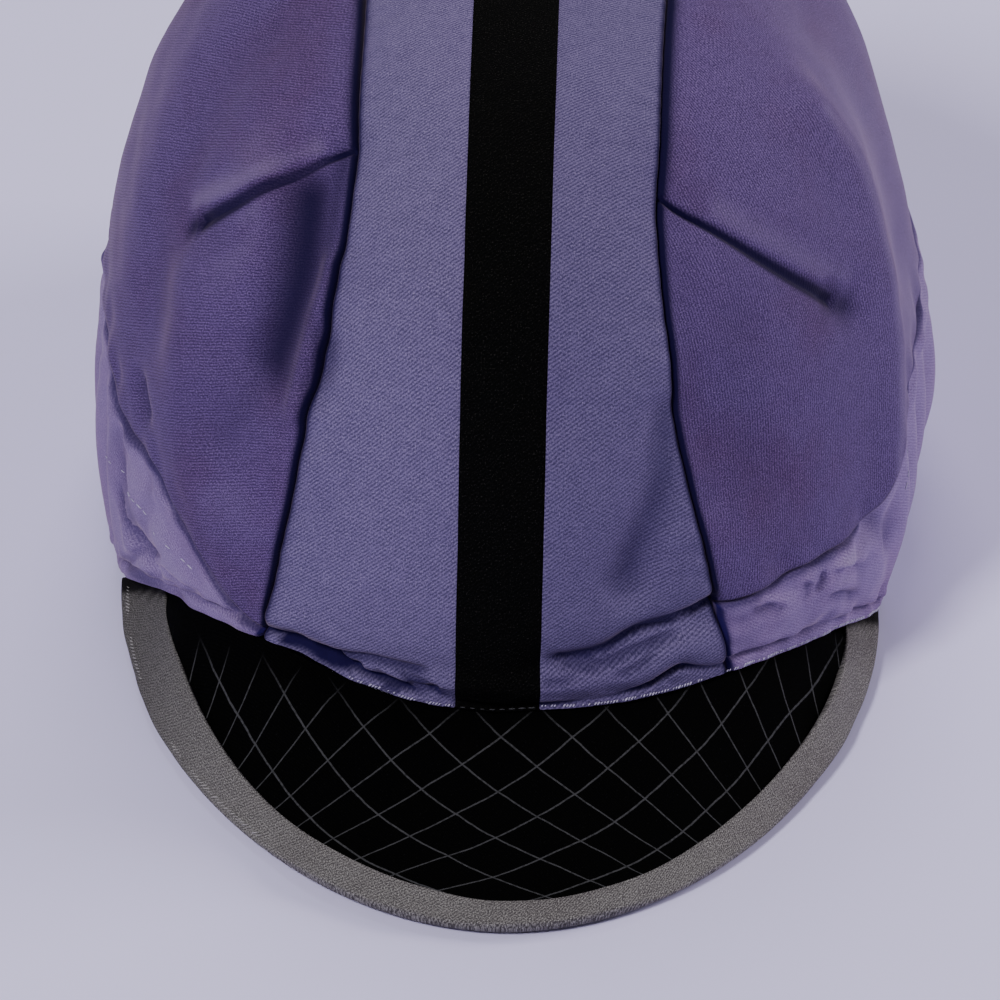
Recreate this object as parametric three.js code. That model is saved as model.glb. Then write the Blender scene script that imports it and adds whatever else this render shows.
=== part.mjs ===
// A soft cycling cap that stands filled out on its own rim, in millimetres, +Z up, peak towards -Y.
//
// The crown is one rounded dome. Three strips run over it from front to back (two pale, one dark stripe
// between them), a panel with a dart closes each side, and a gathered elastic band makes the rim round the
// sides and the back. The peak slopes down from the front rim to the table, with a folded binding on its
// edge.

import * as THREE from "three";

// Crown
const OPENING_HALF_WIDTH = 80.5;
const OPENING_HALF_DEPTH = 97;
const CROWN_HEIGHT = 136;
const PLAN_POWER = 2.12; // 2 would be an ellipse seen from above
const PROFILE_POWER = 3; // 2 would be an ellipse seen from the side
const CROWN_SWELL = 0.04; // how much the sides swell out over the rim, as a share of the radius
const SWELL_POWER = 0.6; // below 1 the crown is widest below half its height
const CROWN_CENTRE_Y = 20; // the crown stands behind the middle of the whole cap

// Cloth
const CLOTH = 1.5;
const BAND_CLOTH = 2;
const SEAM_GAP = 0.4; // clear space between two pieces that are sewn together
const STRIPE_HALF_WIDTH = 8.2;
const SEAM_ROLL = 1.1; // how deep a panel's edge rolls in at a seam
const SEAM_ROLL_WIDTH = 4;

// Band
const BAND_FRONT_ANGLE = 30;
const GATHER_FULL_ANGLE = 75; // where the gathers reach their full depth
const GATHER_DEPTH = 0.8;
const GATHER_COUNT = 38;
const GATHER_WANDER = 2; // how unevenly the gathers are spaced
const GATHER_WANDER_COUNT = 5; // how often that changes round the cap
const GATHER_FRONT_SHARE = 0.4; // the gathers' depth at the front ends, as a share of the full one
const PUFF_TOP_POWER = 1.4; // above 1 the band stands out most over half its height
const PUFF_FULLNESS = 0.8; // below 1 the band is fuller than a half wave

// Peak
const PEAK_HALF_WIDTH = 73.1;
const PEAK_REACH = 107.7; // from the line through the peak's corners to its tip
const PEAK_CORNER_Y = -34;
const PEAK_POWER = 2.05;
const PEAK_LEAN = { corners: -0.5, tip: 1.3 }; // how far they lie to the right of the middle
const PEAK_ROOT_ANGLE = 66;
const PEAK_CLOTH = 1.4;
const PEAK_EASE = 1.2; // above 1 the peak slopes less near its tip than at its root
const BINDING_CLOTH = 1;
const BINDING_GAP = 0.3;
const BINDING_WIDTH = { left: 11.6, middle: 4, right: 6.8 }; // along the slope, at the corners and the tip
const BINDING_NOSE = 1.2;
const BINDING_NOSE_FLAT = 0.45; // height of the nose's flat front, as a share of the whole
const BINDING_TURN = 0.1; // share of the binding's width at which it turns down to its nose
const BINDING_CLEAR = 3.1; // how far the binding's inner edge stays from the crown's inner face
const PEAK_END = 0.93; // share of the way to its corners at which the peak meets the crown's side

// Height of the rim over the table, by angle from the front
const RIM = [
  { angle: 0, left: 21, right: 21 },
  { angle: 14, left: 22.4, right: 21.4 },
  { angle: 30, left: 26.2, right: 22 },
  { angle: 40, left: 24.6, right: 19.6 },
  { angle: 51, left: 19.2, right: 14.2 },
  { angle: 60, left: 12, right: 7.3 },
  { angle: 68, left: 5, right: 1.8 },
  { angle: 77, left: 0, right: 0 },
  { angle: 180, left: 0, right: 0 },
];

// Height of the band's upper edge over the table, by angle from the front
const BAND_TOP = [
  { angle: 28, left: 28, right: 38.8 },
  { angle: 36, left: 28.8, right: 37.8 },
  { angle: 42, left: 35, right: 38.4 },
  { angle: 48, left: 42, right: 37.6 },
  { angle: 54, left: 46.8, right: 37 },
  { angle: 60, left: 47, right: 38.6 },
  { angle: 67, left: 48, right: 46.5 },
  { angle: 76, left: 54, right: 52.5 },
  { angle: 100, left: 55, right: 55 },
  { angle: 140, left: 52, right: 52 },
  { angle: 180, left: 50, right: 50 },
];

// How far the middle of the band's height stands out, by angle from the front
const BAND_PUFF = [
  { angle: 30, left: 0.6, right: 0.6 },
  { angle: 60, left: 0.6, right: 1.3 },
  { angle: 72, left: 0.6, right: 0.3 },
  { angle: 82, left: 0, right: -0.6 },
  { angle: 92, left: -0.1, right: 1.3 },
  { angle: 106, left: 0.2, right: 1.1 },
  { angle: 180, left: 1.2, right: 1.2 },
];

// How far each long seam lies from the middle, by the angle of the arc from the front rim over the top
const SEAM = [
  { arc: 0, left: 49, right: 47 },
  { arc: 16, left: 45.4, right: 43 },
  { arc: 32, left: 38.7, right: 35.2 },
  { arc: 48, left: 32, right: 29.4 },
  { arc: 60, left: 29.8, right: 28.6 },
  { arc: 90, left: 29.4, right: 29.4 },
  { arc: 130, left: 28.5, right: 28.5 },
  { arc: 180, left: 24, right: 24 },
];

// Soft folds and hollows of the crown: each follows a line of places (angle from the front, height), and
// stands out by its rise or, below zero, sinks in
const FOLDS = [
  {
    name: "left dart",
    rise: -3.2,
    width: 4.5,
    line: [{ angle: -31.5, height: 119 }, { angle: -42, height: 112 }, { angle: -54, height: 99.5 }],
  },
  {
    name: "left dimple",
    rise: -4,
    width: 7,
    line: [{ angle: -53, height: 100 }, { angle: -55, height: 98 }],
  },
  {
    name: "left hollow beside the seam",
    rise: -2.6,
    width: 8,
    line: [{ angle: -36, height: 110 }, { angle: -33, height: 90 }],
  },
  {
    name: "left long hollow",
    rise: -2.8,
    width: 11,
    line: [{ angle: -70, height: 127 }, { angle: -65, height: 104 }, { angle: -59.5, height: 71 }],
  },
  {
    name: "right dart",
    rise: -3.2,
    width: 4.5,
    line: [{ angle: 28, height: 115 }, { angle: 42, height: 102 }, { angle: 56, height: 84.5 }],
  },
  {
    name: "right dimple",
    rise: -4,
    width: 7,
    line: [{ angle: 55, height: 85 }, { angle: 58, height: 82.5 }],
  },
  {
    name: "right hollow beside the seam",
    rise: -2.2,
    width: 8,
    line: [{ angle: 31, height: 104 }, { angle: 30, height: 60 }],
  },
  {
    name: "right standing fold",
    rise: 3,
    width: 9,
    line: [{ angle: 69.5, height: 108 }, { angle: 67.5, height: 86 }, { angle: 63, height: 46 }],
  },
  {
    name: "right fall behind the fold",
    rise: -3.8,
    width: 14,
    line: [{ angle: 91, height: 113 }, { angle: 84, height: 72 }],
  },
  {
    name: "right side behind the fall",
    rise: -1.8,
    width: 12,
    line: [{ angle: 106, height: 80 }, { angle: 102, height: 60 }],
  },
  {
    name: "left side's fullness",
    rise: 0.9,
    width: 17,
    line: [{ angle: -112, height: 99 }, { angle: -99, height: 78 }],
  },
  {
    name: "front tuck, left",
    rise: -2.6,
    width: 4,
    line: [{ angle: -29, height: 31.5 }, { angle: -9, height: 29.5 }],
  },
  {
    name: "front tuck, right",
    rise: -2.2,
    width: 4,
    line: [{ angle: 28, height: 37 }, { angle: 19, height: 33 }, { angle: 7, height: 29 }],
  },
];

// Steps of the faceted cloth
const STRIP_STEPS = 34;
const STRIP_COLUMNS = [0, 0.18, 0.6, 1]; // shares of the way from the seam to the stripe
const PANEL_STEPS = 34;
const PANEL_ROWS = 13;
const BAND_STEPS = 96;
const BAND_ROWS = 5;
const PEAK_STEPS = 44;
const PEAK_ROWS = 3; // rows of the peak's open cloth, with one more under the binding

// Arc angles between which a line's ends are looked for, from the front rim (0) over the top (90)
const FRONT_ARCS = { low: 1, high: 60 };
const BACK_ARCS = { low: 110, high: 179 };
const HALVINGS = 40;
const END_PASSES = 12; // passes that settle where the band's front ends meet the seam

const DEGREE = Math.PI / 180;
const LEFT = -1;
const RIGHT = 1;

// Interpolation and small helpers

function mix(from, to, share) {
  return from + (to - from) * share;
}

function clamp01(value) {
  return Math.min(1, Math.max(0, value));
}

function bell(distance, width) {
  return Math.exp(-((distance / width) ** 2));
}

// Reads a table's column between its rows, on a smooth curve through them
function readTable(table, key, column, at) {
  const last = table.length - 1;
  let row = 0;
  while (row < last - 1 && at > table[row + 1][key]) row += 1;
  const slope = (index) => {
    const before = table[Math.max(0, index - 1)];
    const after = table[Math.min(last, index + 1)];
    return (after[column] - before[column]) / (after[key] - before[key]);
  };
  const start = table[row];
  const end = table[row + 1];
  const span = end[key] - start[key];
  const t = clamp01((at - start[key]) / span);
  const t2 = t * t;
  const t3 = t2 * t;
  return (
    start[column] * (2 * t3 - 3 * t2 + 1) +
    slope(row) * span * (t3 - 2 * t2 + t) +
    end[column] * (3 * t2 - 2 * t3) +
    slope(row + 1) * span * (t3 - t2)
  );
}

// Halves the range between low and high until test(value) changes its sign there
function solve(low, high, test) {
  const sign = Math.sign(test(low));
  for (let step = 0; step < HALVINGS; step += 1) {
    const middle = (low + high) / 2;
    if (Math.sign(test(middle)) === sign) low = middle;
    else high = middle;
  }
  return (low + high) / 2;
}

// The dome: a place on it is a vector of shares of the half width, half depth and height

function ontoDome(shares) {
  const plan = Math.abs(shares.x) ** PLAN_POWER + Math.abs(shares.y) ** PLAN_POWER;
  const level = plan ** (PROFILE_POWER / PLAN_POWER) + Math.abs(shares.z) ** PROFILE_POWER;
  return shares.clone().multiplyScalar(level ** (-1 / PROFILE_POWER));
}

function domePoint(shares) {
  const swell = 1 + CROWN_SWELL * Math.sin(Math.PI * clamp01(shares.z) ** SWELL_POWER);
  return new THREE.Vector3(
    shares.x * OPENING_HALF_WIDTH * swell,
    shares.y * OPENING_HALF_DEPTH * swell,
    shares.z * CROWN_HEIGHT,
  );
}

function domeNormal(shares) {
  const plan = Math.abs(shares.x) ** PLAN_POWER + Math.abs(shares.y) ** PLAN_POWER;
  const spread = plan ** (PROFILE_POWER / PLAN_POWER - 1);
  const pull = (share) => Math.sign(share) * Math.abs(share) ** (PLAN_POWER - 1) * spread;
  return new THREE.Vector3(
    pull(shares.x) / OPENING_HALF_WIDTH,
    pull(shares.y) / OPENING_HALF_DEPTH,
    Math.abs(shares.z) ** (PROFILE_POWER - 1) / CROWN_HEIGHT,
  ).normalize();
}

// Place at an angle from the front (degrees, right is positive) and a height over the table
function atHeight(angle, height) {
  const level = height / CROWN_HEIGHT;
  const radius = (1 - level ** PROFILE_POWER) ** (1 / PROFILE_POWER);
  const side = Math.sin(angle * DEGREE);
  const front = Math.cos(angle * DEGREE);
  const round = (Math.abs(side) ** PLAN_POWER + Math.abs(front) ** PLAN_POWER) ** (-1 / PLAN_POWER);
  return new THREE.Vector3(side * round * radius, -front * round * radius, level);
}

// Place at a distance from the middle and an arc angle from the front rim (0) over the top (90) to the back
function atArc(distance, arc) {
  const along = { y: -Math.cos(arc * DEGREE), z: Math.sin(arc * DEGREE) };
  const place = (reach) => {
    const shares = new THREE.Vector3(0, along.y * reach, along.z * reach);
    const swell = domePoint(new THREE.Vector3(1, 0, shares.z)).x;
    shares.x = distance / swell;
    return shares;
  };
  const reach = solve(0.1, 1.2, (value) => {
    const shares = place(value);
    return shares.length() - ontoDome(shares).length();
  });
  return ontoDome(place(reach));
}

function angleOf(shares) {
  return Math.atan2(shares.x, -shares.y) / DEGREE;
}

// The lines where the pieces meet

function sideName(angle) {
  return angle < 0 ? "left" : "right";
}

function rimHeight(angle) {
  return Math.max(0, readTable(RIM, "angle", sideName(angle), Math.abs(angle)));
}

function bandTop(angle) {
  return readTable(BAND_TOP, "angle", sideName(angle), Math.abs(angle));
}

function seamDistance(side, arc) {
  return readTable(SEAM, "arc", side < 0 ? "left" : "right", arc);
}

function seamPlace(side, arc, clear) {
  return atArc(side * (seamDistance(side, arc) + clear), arc);
}

// Arc angles at which the line at a distance from the middle starts and ends: at the front on the rim, at
// the back on the band
function frontArc(distance) {
  return solve(FRONT_ARCS.low, FRONT_ARCS.high, (arc) => {
    const place = atArc(distance(arc), arc);
    return place.z * CROWN_HEIGHT - rimHeight(angleOf(place));
  });
}

function backArc(distance) {
  return solve(BACK_ARCS.low, BACK_ARCS.high, (arc) => {
    const place = atArc(distance(arc), arc);
    return place.z * CROWN_HEIGHT - bandTop(angleOf(place)) - SEAM_GAP;
  });
}

// Folds of the cloth

function segmentDistance(point, from, to) {
  const along = new THREE.Line3(from, to);
  return along.closestPointToPoint(point, true, new THREE.Vector3()).distanceTo(point);
}

const FOLD_LINES = FOLDS.map((fold) => ({
  ...fold,
  points: fold.line.map((place) => domePoint(atHeight(place.angle, place.height))),
}));

function foldRise(point) {
  let rise = 0;
  for (const fold of FOLD_LINES) {
    let nearest = Infinity;
    for (let index = 1; index < fold.points.length; index += 1) {
      nearest = Math.min(nearest, segmentDistance(point, fold.points[index - 1], fold.points[index]));
    }
    rise += fold.rise * bell(nearest, fold.width);
  }
  return rise;
}

// Outer and inner face of the crown's cloth at a place, pushed out or in by a rise
function clothPoints(shares, rise, cloth) {
  const point = domePoint(shares);
  const normal = domeNormal(shares);
  const total = rise + foldRise(point);
  return {
    outer: point.clone().addScaledVector(normal, total),
    inner: point.clone().addScaledVector(normal, total - cloth),
  };
}

// Closed solids from a grid of cloth

// Two triangles for the face a, b, c, d, split along its shorter diagonal
function splitFace(points, a, b, c, d) {
  if (points[a].distanceTo(points[c]) <= points[b].distanceTo(points[d])) return [[a, b, c], [a, c, d]];
  return [[a, b, d], [b, c, d]];
}

// Turns a grid of {outer, inner} points into one closed wall. Points that coincide are joined, so a row or
// column may shrink to one point.
function wallFromGrid(grid) {
  const outer = joinPoints(grid, "outer");
  const inner = joinPoints(grid, "inner");
  const offset = outer.points.length;
  const triangles = [];
  const edges = new Map();
  const addTriangle = (a, b, c) => {
    if (a === b || b === c || c === a) return;
    triangles.push([a, b, c]);
    for (const [from, to] of [[a, b], [b, c], [c, a]]) edges.set(`${from}_${to}`, [from, to]);
  };
  for (let row = 0; row + 1 < grid.length; row += 1) {
    for (let column = 0; column + 1 < grid[row].length; column += 1) {
      const a = outer.index[row][column];
      const b = outer.index[row][column + 1];
      const c = outer.index[row + 1][column + 1];
      const d = outer.index[row + 1][column];
      for (const triangle of splitFace(outer.points, a, b, c, d)) addTriangle(...triangle);
    }
  }
  const closed = [...triangles];
  for (const [a, b, c] of triangles) closed.push([a + offset, c + offset, b + offset]);
  for (const [from, to] of edges.values()) {
    if (edges.has(`${to}_${from}`)) continue;
    closed.push([to, from, from + offset]);
    closed.push([to, from + offset, to + offset]);
  }
  return geometryFrom([...outer.points, ...inner.points], closed);
}

function joinPoints(grid, face) {
  const points = [];
  const known = new Map();
  const index = grid.map((row) =>
    row.map((cell) => {
      const key = cell.outer.toArray().map((value) => value.toFixed(3)).join("_");
      if (!known.has(key)) {
        known.set(key, points.length);
        points.push(cell[face]);
      }
      return known.get(key);
    }),
  );
  return { points, index };
}

function geometryFrom(points, triangles) {
  const geometry = new THREE.BufferGeometry();
  geometry.setAttribute("position", new THREE.Float32BufferAttribute(points.flatMap((p) => p.toArray()), 3));
  geometry.setIndex(triangles.flat());
  geometry.computeVertexNormals();
  return geometry;
}

// A closed tube of any outline along a row of sections, with flat ends
function tubeFromSections(sections) {
  const count = sections[0].length;
  const points = sections.flat();
  const triangles = [];
  for (let step = 0; step + 1 < sections.length; step += 1) {
    for (let corner = 0; corner < count; corner += 1) {
      const next = (corner + 1) % count;
      const a = step * count + corner;
      const b = step * count + next;
      triangles.push(...splitFace(points, a, b, b + count, a + count));
    }
  }
  return { points, triangles, last: (sections.length - 1) * count };
}

// Crown strips

// One strip from front to back between two lines, each given as a distance from the middle by arc angle
function stripSolid(leftLine, rightLine, columns, riseAt) {
  const grid = columns.map((share) => {
    const line = (arc) => mix(leftLine(arc), rightLine(arc), share);
    const start = frontArc(line);
    const end = backArc(line);
    const row = [];
    for (let step = 0; step <= STRIP_STEPS; step += 1) {
      const arc = mix(start, end, step / STRIP_STEPS);
      const shares = atArc(line(arc), arc);
      row.push(clothPoints(shares, riseAt(share), CLOTH));
    }
    return row;
  });
  return wallFromGrid(grid.reverse());
}

function centreStrip(side) {
  const stripeEdge = () => side * (STRIPE_HALF_WIDTH + SEAM_GAP / 2);
  const seamEdge = (arc) => side * (seamDistance(side, arc) - SEAM_GAP / 2);
  const columns = side < 0 ? STRIP_COLUMNS : STRIP_COLUMNS.map((share) => 1 - share).reverse();
  const fromSeam = (share) => (side < 0 ? share : 1 - share);
  const riseAt = (share) => -SEAM_ROLL * clamp01(1 - fromSeam(share) / STRIP_COLUMNS[1]);
  const lines = side < 0 ? [seamEdge, stripeEdge] : [stripeEdge, seamEdge];
  return stripSolid(...lines, columns, riseAt);
}

function centreStripe() {
  const edge = STRIPE_HALF_WIDTH - SEAM_GAP / 2;
  return stripSolid(() => -edge, () => edge, [0, 0.5, 1], () => 0);
}

// Side panels

function sidePanel(side) {
  const clear = SEAM_GAP / 2;
  const seamTop = (arc) => {
    const place = seamPlace(side, arc, clear);
    return place.z * CROWN_HEIGHT - bandTop(angleOf(place)) - clear;
  };
  const startArc = solve(FRONT_ARCS.low, FRONT_ARCS.high, seamTop);
  const endArc = solve(BACK_ARCS.low, BACK_ARCS.high, seamTop);
  const startAngle = angleOf(seamPlace(side, startArc, clear));
  const endAngle = angleOf(seamPlace(side, endArc, clear));
  const grid = [];
  for (let step = 0; step <= PANEL_STEPS; step += 1) {
    const share = step / PANEL_STEPS;
    const top = seamPlace(side, mix(startArc, endArc, share), clear);
    const angle = mix(startAngle, endAngle, share);
    const bottom = atHeight(angle, bandTop(angle) + clear);
    const row = [];
    for (let line = 0; line <= PANEL_ROWS; line += 1) {
      const shares = ontoDome(top.clone().lerp(bottom, line / PANEL_ROWS));
      const point = domePoint(shares);
      const toSeam = point.distanceTo(domePoint(top));
      const toBand = point.distanceTo(domePoint(bottom));
      const roll = Math.max(bell(toSeam, SEAM_ROLL_WIDTH), bell(toBand, SEAM_ROLL_WIDTH));
      row.push(clothPoints(shares, -SEAM_ROLL * roll, CLOTH));
    }
    grid.push(row);
  }
  return wallFromGrid(side > 0 ? grid : grid.reverse());
}

// Band

// How far the band stands out, by angle and by the share of its height
function bandRise(angle, share) {
  const round = Math.sin(Math.PI * share ** PUFF_TOP_POWER) ** PUFF_FULLNESS;
  const grow = clamp01((Math.abs(angle) - BAND_FRONT_ANGLE) / (GATHER_FULL_ANGLE - BAND_FRONT_ANGLE));
  const puff = readTable(BAND_PUFF, "angle", sideName(angle), Math.abs(angle));
  const turn = angle * DEGREE;
  const gather = Math.cos(turn * GATHER_COUNT + GATHER_WANDER * Math.sin(turn * GATHER_WANDER_COUNT));
  return round * (puff + GATHER_DEPTH * gather * mix(GATHER_FRONT_SHARE, 1, grow));
}

function sideBand() {
  const endAngle = (side, share) => {
    let angle = side * BAND_FRONT_ANGLE;
    for (let pass = 0; pass < END_PASSES; pass += 1) {
      const height = mix(rimHeight(angle), bandTop(angle) - SEAM_GAP / 2, share);
      const over = (arc) => seamPlace(side, arc, SEAM_GAP / 2).z * CROWN_HEIGHT - height;
      const arc = solve(FRONT_ARCS.low, FRONT_ARCS.high, over);
      angle = angleOf(seamPlace(side, arc, SEAM_GAP / 2));
    }
    return angle;
  };
  const grid = [];
  for (let line = 0; line <= BAND_ROWS; line += 1) {
    const share = line / BAND_ROWS;
    const start = endAngle(RIGHT, share);
    const end = 360 + endAngle(LEFT, share);
    const row = [];
    for (let step = 0; step <= BAND_STEPS; step += 1) {
      const turn = mix(start, end, step / BAND_STEPS);
      const angle = turn > 180 ? turn - 360 : turn;
      const height = mix(rimHeight(angle), bandTop(angle) - SEAM_GAP / 2, share);
      row.push(clothPoints(atHeight(angle, height), bandRise(angle, share), BAND_CLOTH));
    }
    grid.push(row);
  }
  return wallFromGrid(grid);
}

// Peak

const PEAK_EDGE_HEIGHT = PEAK_CLOTH / 2 + BINDING_GAP + BINDING_CLOTH;
const PEAK_ROOT_DROP = 1.4; // from the rim to the middle of the peak's cloth under it

// Middle of the peak's cloth: across runs from -1 (left corner) to 1, out from 0 (root) to 1 (outer edge)
function peakPoint(across, out) {
  const angle = across * PEAK_ROOT_ANGLE;
  const place = atHeight(angle, rimHeight(angle));
  const root = domePoint(place).addScaledVector(domeNormal(place), -CLOTH);
  root.z = Math.max(rimHeight(angle) - PEAK_ROOT_DROP, PEAK_CLOTH / 2);
  const turn = across * Math.PI / 2;
  const side = Math.sin(turn);
  const front = Math.abs(Math.cos(turn));
  const round = (Math.abs(side) ** PEAK_POWER + front ** PEAK_POWER) ** (-1 / PEAK_POWER);
  const edge = new THREE.Vector3(
    PEAK_HALF_WIDTH * side * round + mix(PEAK_LEAN.corners, PEAK_LEAN.tip, front),
    PEAK_CORNER_Y - PEAK_REACH * front * round,
    PEAK_EDGE_HEIGHT,
  );
  const height = mix(edge.z, root.z, (1 - out) ** PEAK_EASE);
  return root.lerp(edge, out).setZ(height);
}

// One way up for the whole width of the peak at a step across, so that its faces stay parallel
function peakNormal(across) {
  const small = 0.01;
  const halfway = 0.6;
  const alongAcross = peakPoint(across + small, halfway).sub(peakPoint(across - small, halfway));
  const alongOut = peakPoint(across, 1).sub(peakPoint(across, 0));
  return alongOut.cross(alongAcross).normalize();
}

function peakLength(across) {
  return peakPoint(across, 1).distanceTo(peakPoint(across, 0));
}

// Steps across the peak, the same for its cloth and its binding
function eachPeakStep(make) {
  const made = [];
  for (let step = 0; step <= PEAK_STEPS; step += 1) {
    made.push(make(mix(-PEAK_END, PEAK_END, step / PEAK_STEPS)));
  }
  return made;
}

function bindingWidth(across) {
  const side = across < 0 ? BINDING_WIDTH.left : BINDING_WIDTH.right;
  const width = mix(BINDING_WIDTH.middle, side, Math.abs(across));
  return Math.min(width, peakLength(across) - BINDING_CLEAR);
}

function peakSolid() {
  const columns = eachPeakStep((across) => {
    const length = peakLength(across);
    const underBinding = 1 - bindingWidth(across) / length;
    const outs = [];
    for (let line = 0; line <= PEAK_ROWS; line += 1) outs.push((underBinding * line) / PEAK_ROWS);
    outs.push(1 - BINDING_GAP / length);
    return outs.map((out) => {
      const middle = peakPoint(across, out);
      const normal = peakNormal(across);
      return {
        outer: middle.clone().addScaledVector(normal, PEAK_CLOTH / 2),
        inner: middle.clone().addScaledVector(normal, -PEAK_CLOTH / 2),
      };
    });
  });
  return wallFromGrid(columns);
}

// Section of the folded binding: how far in from the peak's edge, as a share of its width, how far out
// past the edge in millimetres, and how far over or under the middle of the cloth
function bindingSection() {
  const face = PEAK_CLOTH / 2 + BINDING_GAP;
  const back = face + BINDING_CLOTH;
  return [
    { inward: 1, past: 0, over: back },
    { inward: BINDING_TURN, past: 0, over: back },
    { inward: 0, past: BINDING_NOSE, over: back * BINDING_NOSE_FLAT },
    { inward: 0, past: BINDING_NOSE, over: -back * BINDING_NOSE_FLAT },
    { inward: BINDING_TURN, past: 0, over: -back },
    { inward: 1, past: 0, over: -back },
    { inward: 1, past: 0, over: -face },
    { inward: 0, past: 0, over: -face },
    { inward: 0, past: 0, over: face },
    { inward: 1, past: 0, over: face },
  ];
}

function peakBinding() {
  const corners = bindingSection();
  const sections = eachPeakStep((across) => {
    const length = peakLength(across);
    const outward = peakPoint(across, 1).sub(peakPoint(across, 0)).normalize();
    return corners.map((corner) => {
      const out = 1 - (corner.inward * bindingWidth(across)) / length;
      return peakPoint(across, out)
        .addScaledVector(peakNormal(across), corner.over)
        .addScaledVector(outward, corner.past);
    });
  });
  const tube = tubeFromSections(sections);
  const flatCorner = ({ inward, past, over }) =>
    new THREE.Vector2(past - inward * BINDING_WIDTH.middle, over);
  const ends = THREE.ShapeUtils.triangulateShape(corners.map(flatCorner), []);
  for (const [a, b, c] of ends) {
    tube.triangles.push([a, b, c]);
    tube.triangles.push([a + tube.last, c + tube.last, b + tube.last]);
  }
  return geometryFrom(tube.points, tube.triangles);
}

// The cap

function cloth(colour, roughness) {
  return new THREE.MeshStandardMaterial({ color: colour, roughness, metalness: 0 });
}

const PIECES = [
  { name: "centre_panel_left", geometry: centreStrip(LEFT), material: cloth(0x67617f, 0.85) },
  { name: "centre_panel_right", geometry: centreStrip(RIGHT), material: cloth(0x67617f, 0.85) },
  { name: "centre_stripe", geometry: centreStripe(), material: cloth(0x08080a, 0.8) },
  { name: "side_panel_left", geometry: sidePanel(LEFT), material: cloth(0x4e4570, 0.85) },
  { name: "side_panel_right", geometry: sidePanel(RIGHT), material: cloth(0x4e4570, 0.85) },
  { name: "side_band", geometry: sideBand(), material: cloth(0x71698a, 0.9) },
  { name: "peak", geometry: peakSolid(), material: cloth(0x050506, 0.8) },
  { name: "peak_binding", geometry: peakBinding(), material: cloth(0x65615f, 0.85) },
];

const cap = new THREE.Group();
for (const piece of PIECES) {
  const mesh = new THREE.Mesh(piece.geometry, piece.material);
  mesh.name = piece.name;
  mesh.position.y = CROWN_CENTRE_Y;
  cap.add(mesh);
}

export default cap;
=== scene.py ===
"""A cycling cap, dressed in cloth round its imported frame.

The crown is one rounded dome of five sewn strips and panels over a gathered band, and a lined peak with a
folded binding slopes down from its front rim. Sizes are in millimetres from the crown's centre, with the
peak towards -Y, and become metres in the frame only when a mesh is made.
"""

import logging
import math
from collections.abc import Callable, Sequence
from dataclasses import dataclass, field
from enum import Enum
from functools import partial

import bmesh
import bpy
import numpy as np
from mathutils import Matrix, Vector


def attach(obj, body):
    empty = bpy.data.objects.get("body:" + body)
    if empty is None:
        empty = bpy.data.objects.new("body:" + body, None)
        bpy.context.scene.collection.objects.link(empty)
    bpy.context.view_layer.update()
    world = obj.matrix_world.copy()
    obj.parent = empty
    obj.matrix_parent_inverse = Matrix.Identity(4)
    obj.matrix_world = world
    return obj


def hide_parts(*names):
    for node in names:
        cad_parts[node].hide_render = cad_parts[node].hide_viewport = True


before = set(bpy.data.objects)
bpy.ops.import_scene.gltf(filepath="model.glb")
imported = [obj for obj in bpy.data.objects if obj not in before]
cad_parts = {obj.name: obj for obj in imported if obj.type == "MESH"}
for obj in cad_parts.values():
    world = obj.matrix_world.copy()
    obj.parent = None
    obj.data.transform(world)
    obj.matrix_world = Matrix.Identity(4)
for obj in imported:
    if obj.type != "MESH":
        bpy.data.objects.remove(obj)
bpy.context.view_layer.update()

MM = 0.001
DEGREE = math.pi / 180
FAR = 99.0  # a distance at which nothing reaches the cloth, in millimetres
CROWN_CENTRE_Y = 20.0  # the crown stands behind the middle of the whole cap
HALVINGS = 26  # of a range, until the place in it is found
NOISE_WAVES = 14
LINE_STEPS = 28  # points along a fold's curved line
MERGE_DISTANCE = 0.004  # nearer points of a mesh, in millimetres, become one

log = logging.getLogger("cycling_cap")
Array = np.ndarray


class Side(Enum):
    """A side of the cap, as the camera sees it from the front."""

    LEFT = -1
    RIGHT = 1


# Curves and noise


def smooth_curve(keys: Array, values: Array, at: Array) -> Array:
    """Reads a cubic curve through (keys, values) whose slopes are those of the neighbouring points.

    Args:
        keys: where the values are given, rising.
        values: the values there.
        at: where to read.

    Returns:
        The curve's values at those places.
    """
    slopes = np.empty_like(values)
    slopes[1:-1] = (values[2:] - values[:-2]) / (keys[2:] - keys[:-2])
    slopes[0] = (values[1] - values[0]) / (keys[1] - keys[0])
    slopes[-1] = (values[-1] - values[-2]) / (keys[-1] - keys[-2])
    row = np.clip(np.searchsorted(keys, at) - 1, 0, len(keys) - 2)
    span = keys[row + 1] - keys[row]
    t = np.clip((at - keys[row]) / span, 0, 1)
    return (
        values[row] * (2 * t**3 - 3 * t**2 + 1)
        + slopes[row] * span * (t**3 - 2 * t**2 + t)
        + values[row + 1] * (3 * t**2 - 2 * t**3)
        + slopes[row + 1] * span * (t**3 - t**2)
    )


@dataclass(frozen=True)
class SideTable:
    """A smooth curve that differs between the two sides, through rows of (at, left value, right value)."""

    rows: tuple[tuple[float, float, float], ...]

    def read(self, at: Array, right: Array) -> Array:
        """Reads the table.

        Args:
            at: where to read, in the rows' own unit.
            right: true where the right column is wanted.

        Returns:
            The values, held level beyond the last rows.
        """
        keys, left, other = np.array(self.rows, float).T
        return np.where(right, smooth_curve(keys, other, at), smooth_curve(keys, left, at))


def bell(distance: Array, width: float) -> Array:
    """A smooth hump of height 1 round distance 0."""
    return np.exp(-((distance / width) ** 2))


def ease(value: Array) -> Array:
    """Rises smoothly from 0 to 1 as the value does."""
    t = np.clip(value, 0, 1)
    return t * t * (3 - 2 * t)


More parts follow.
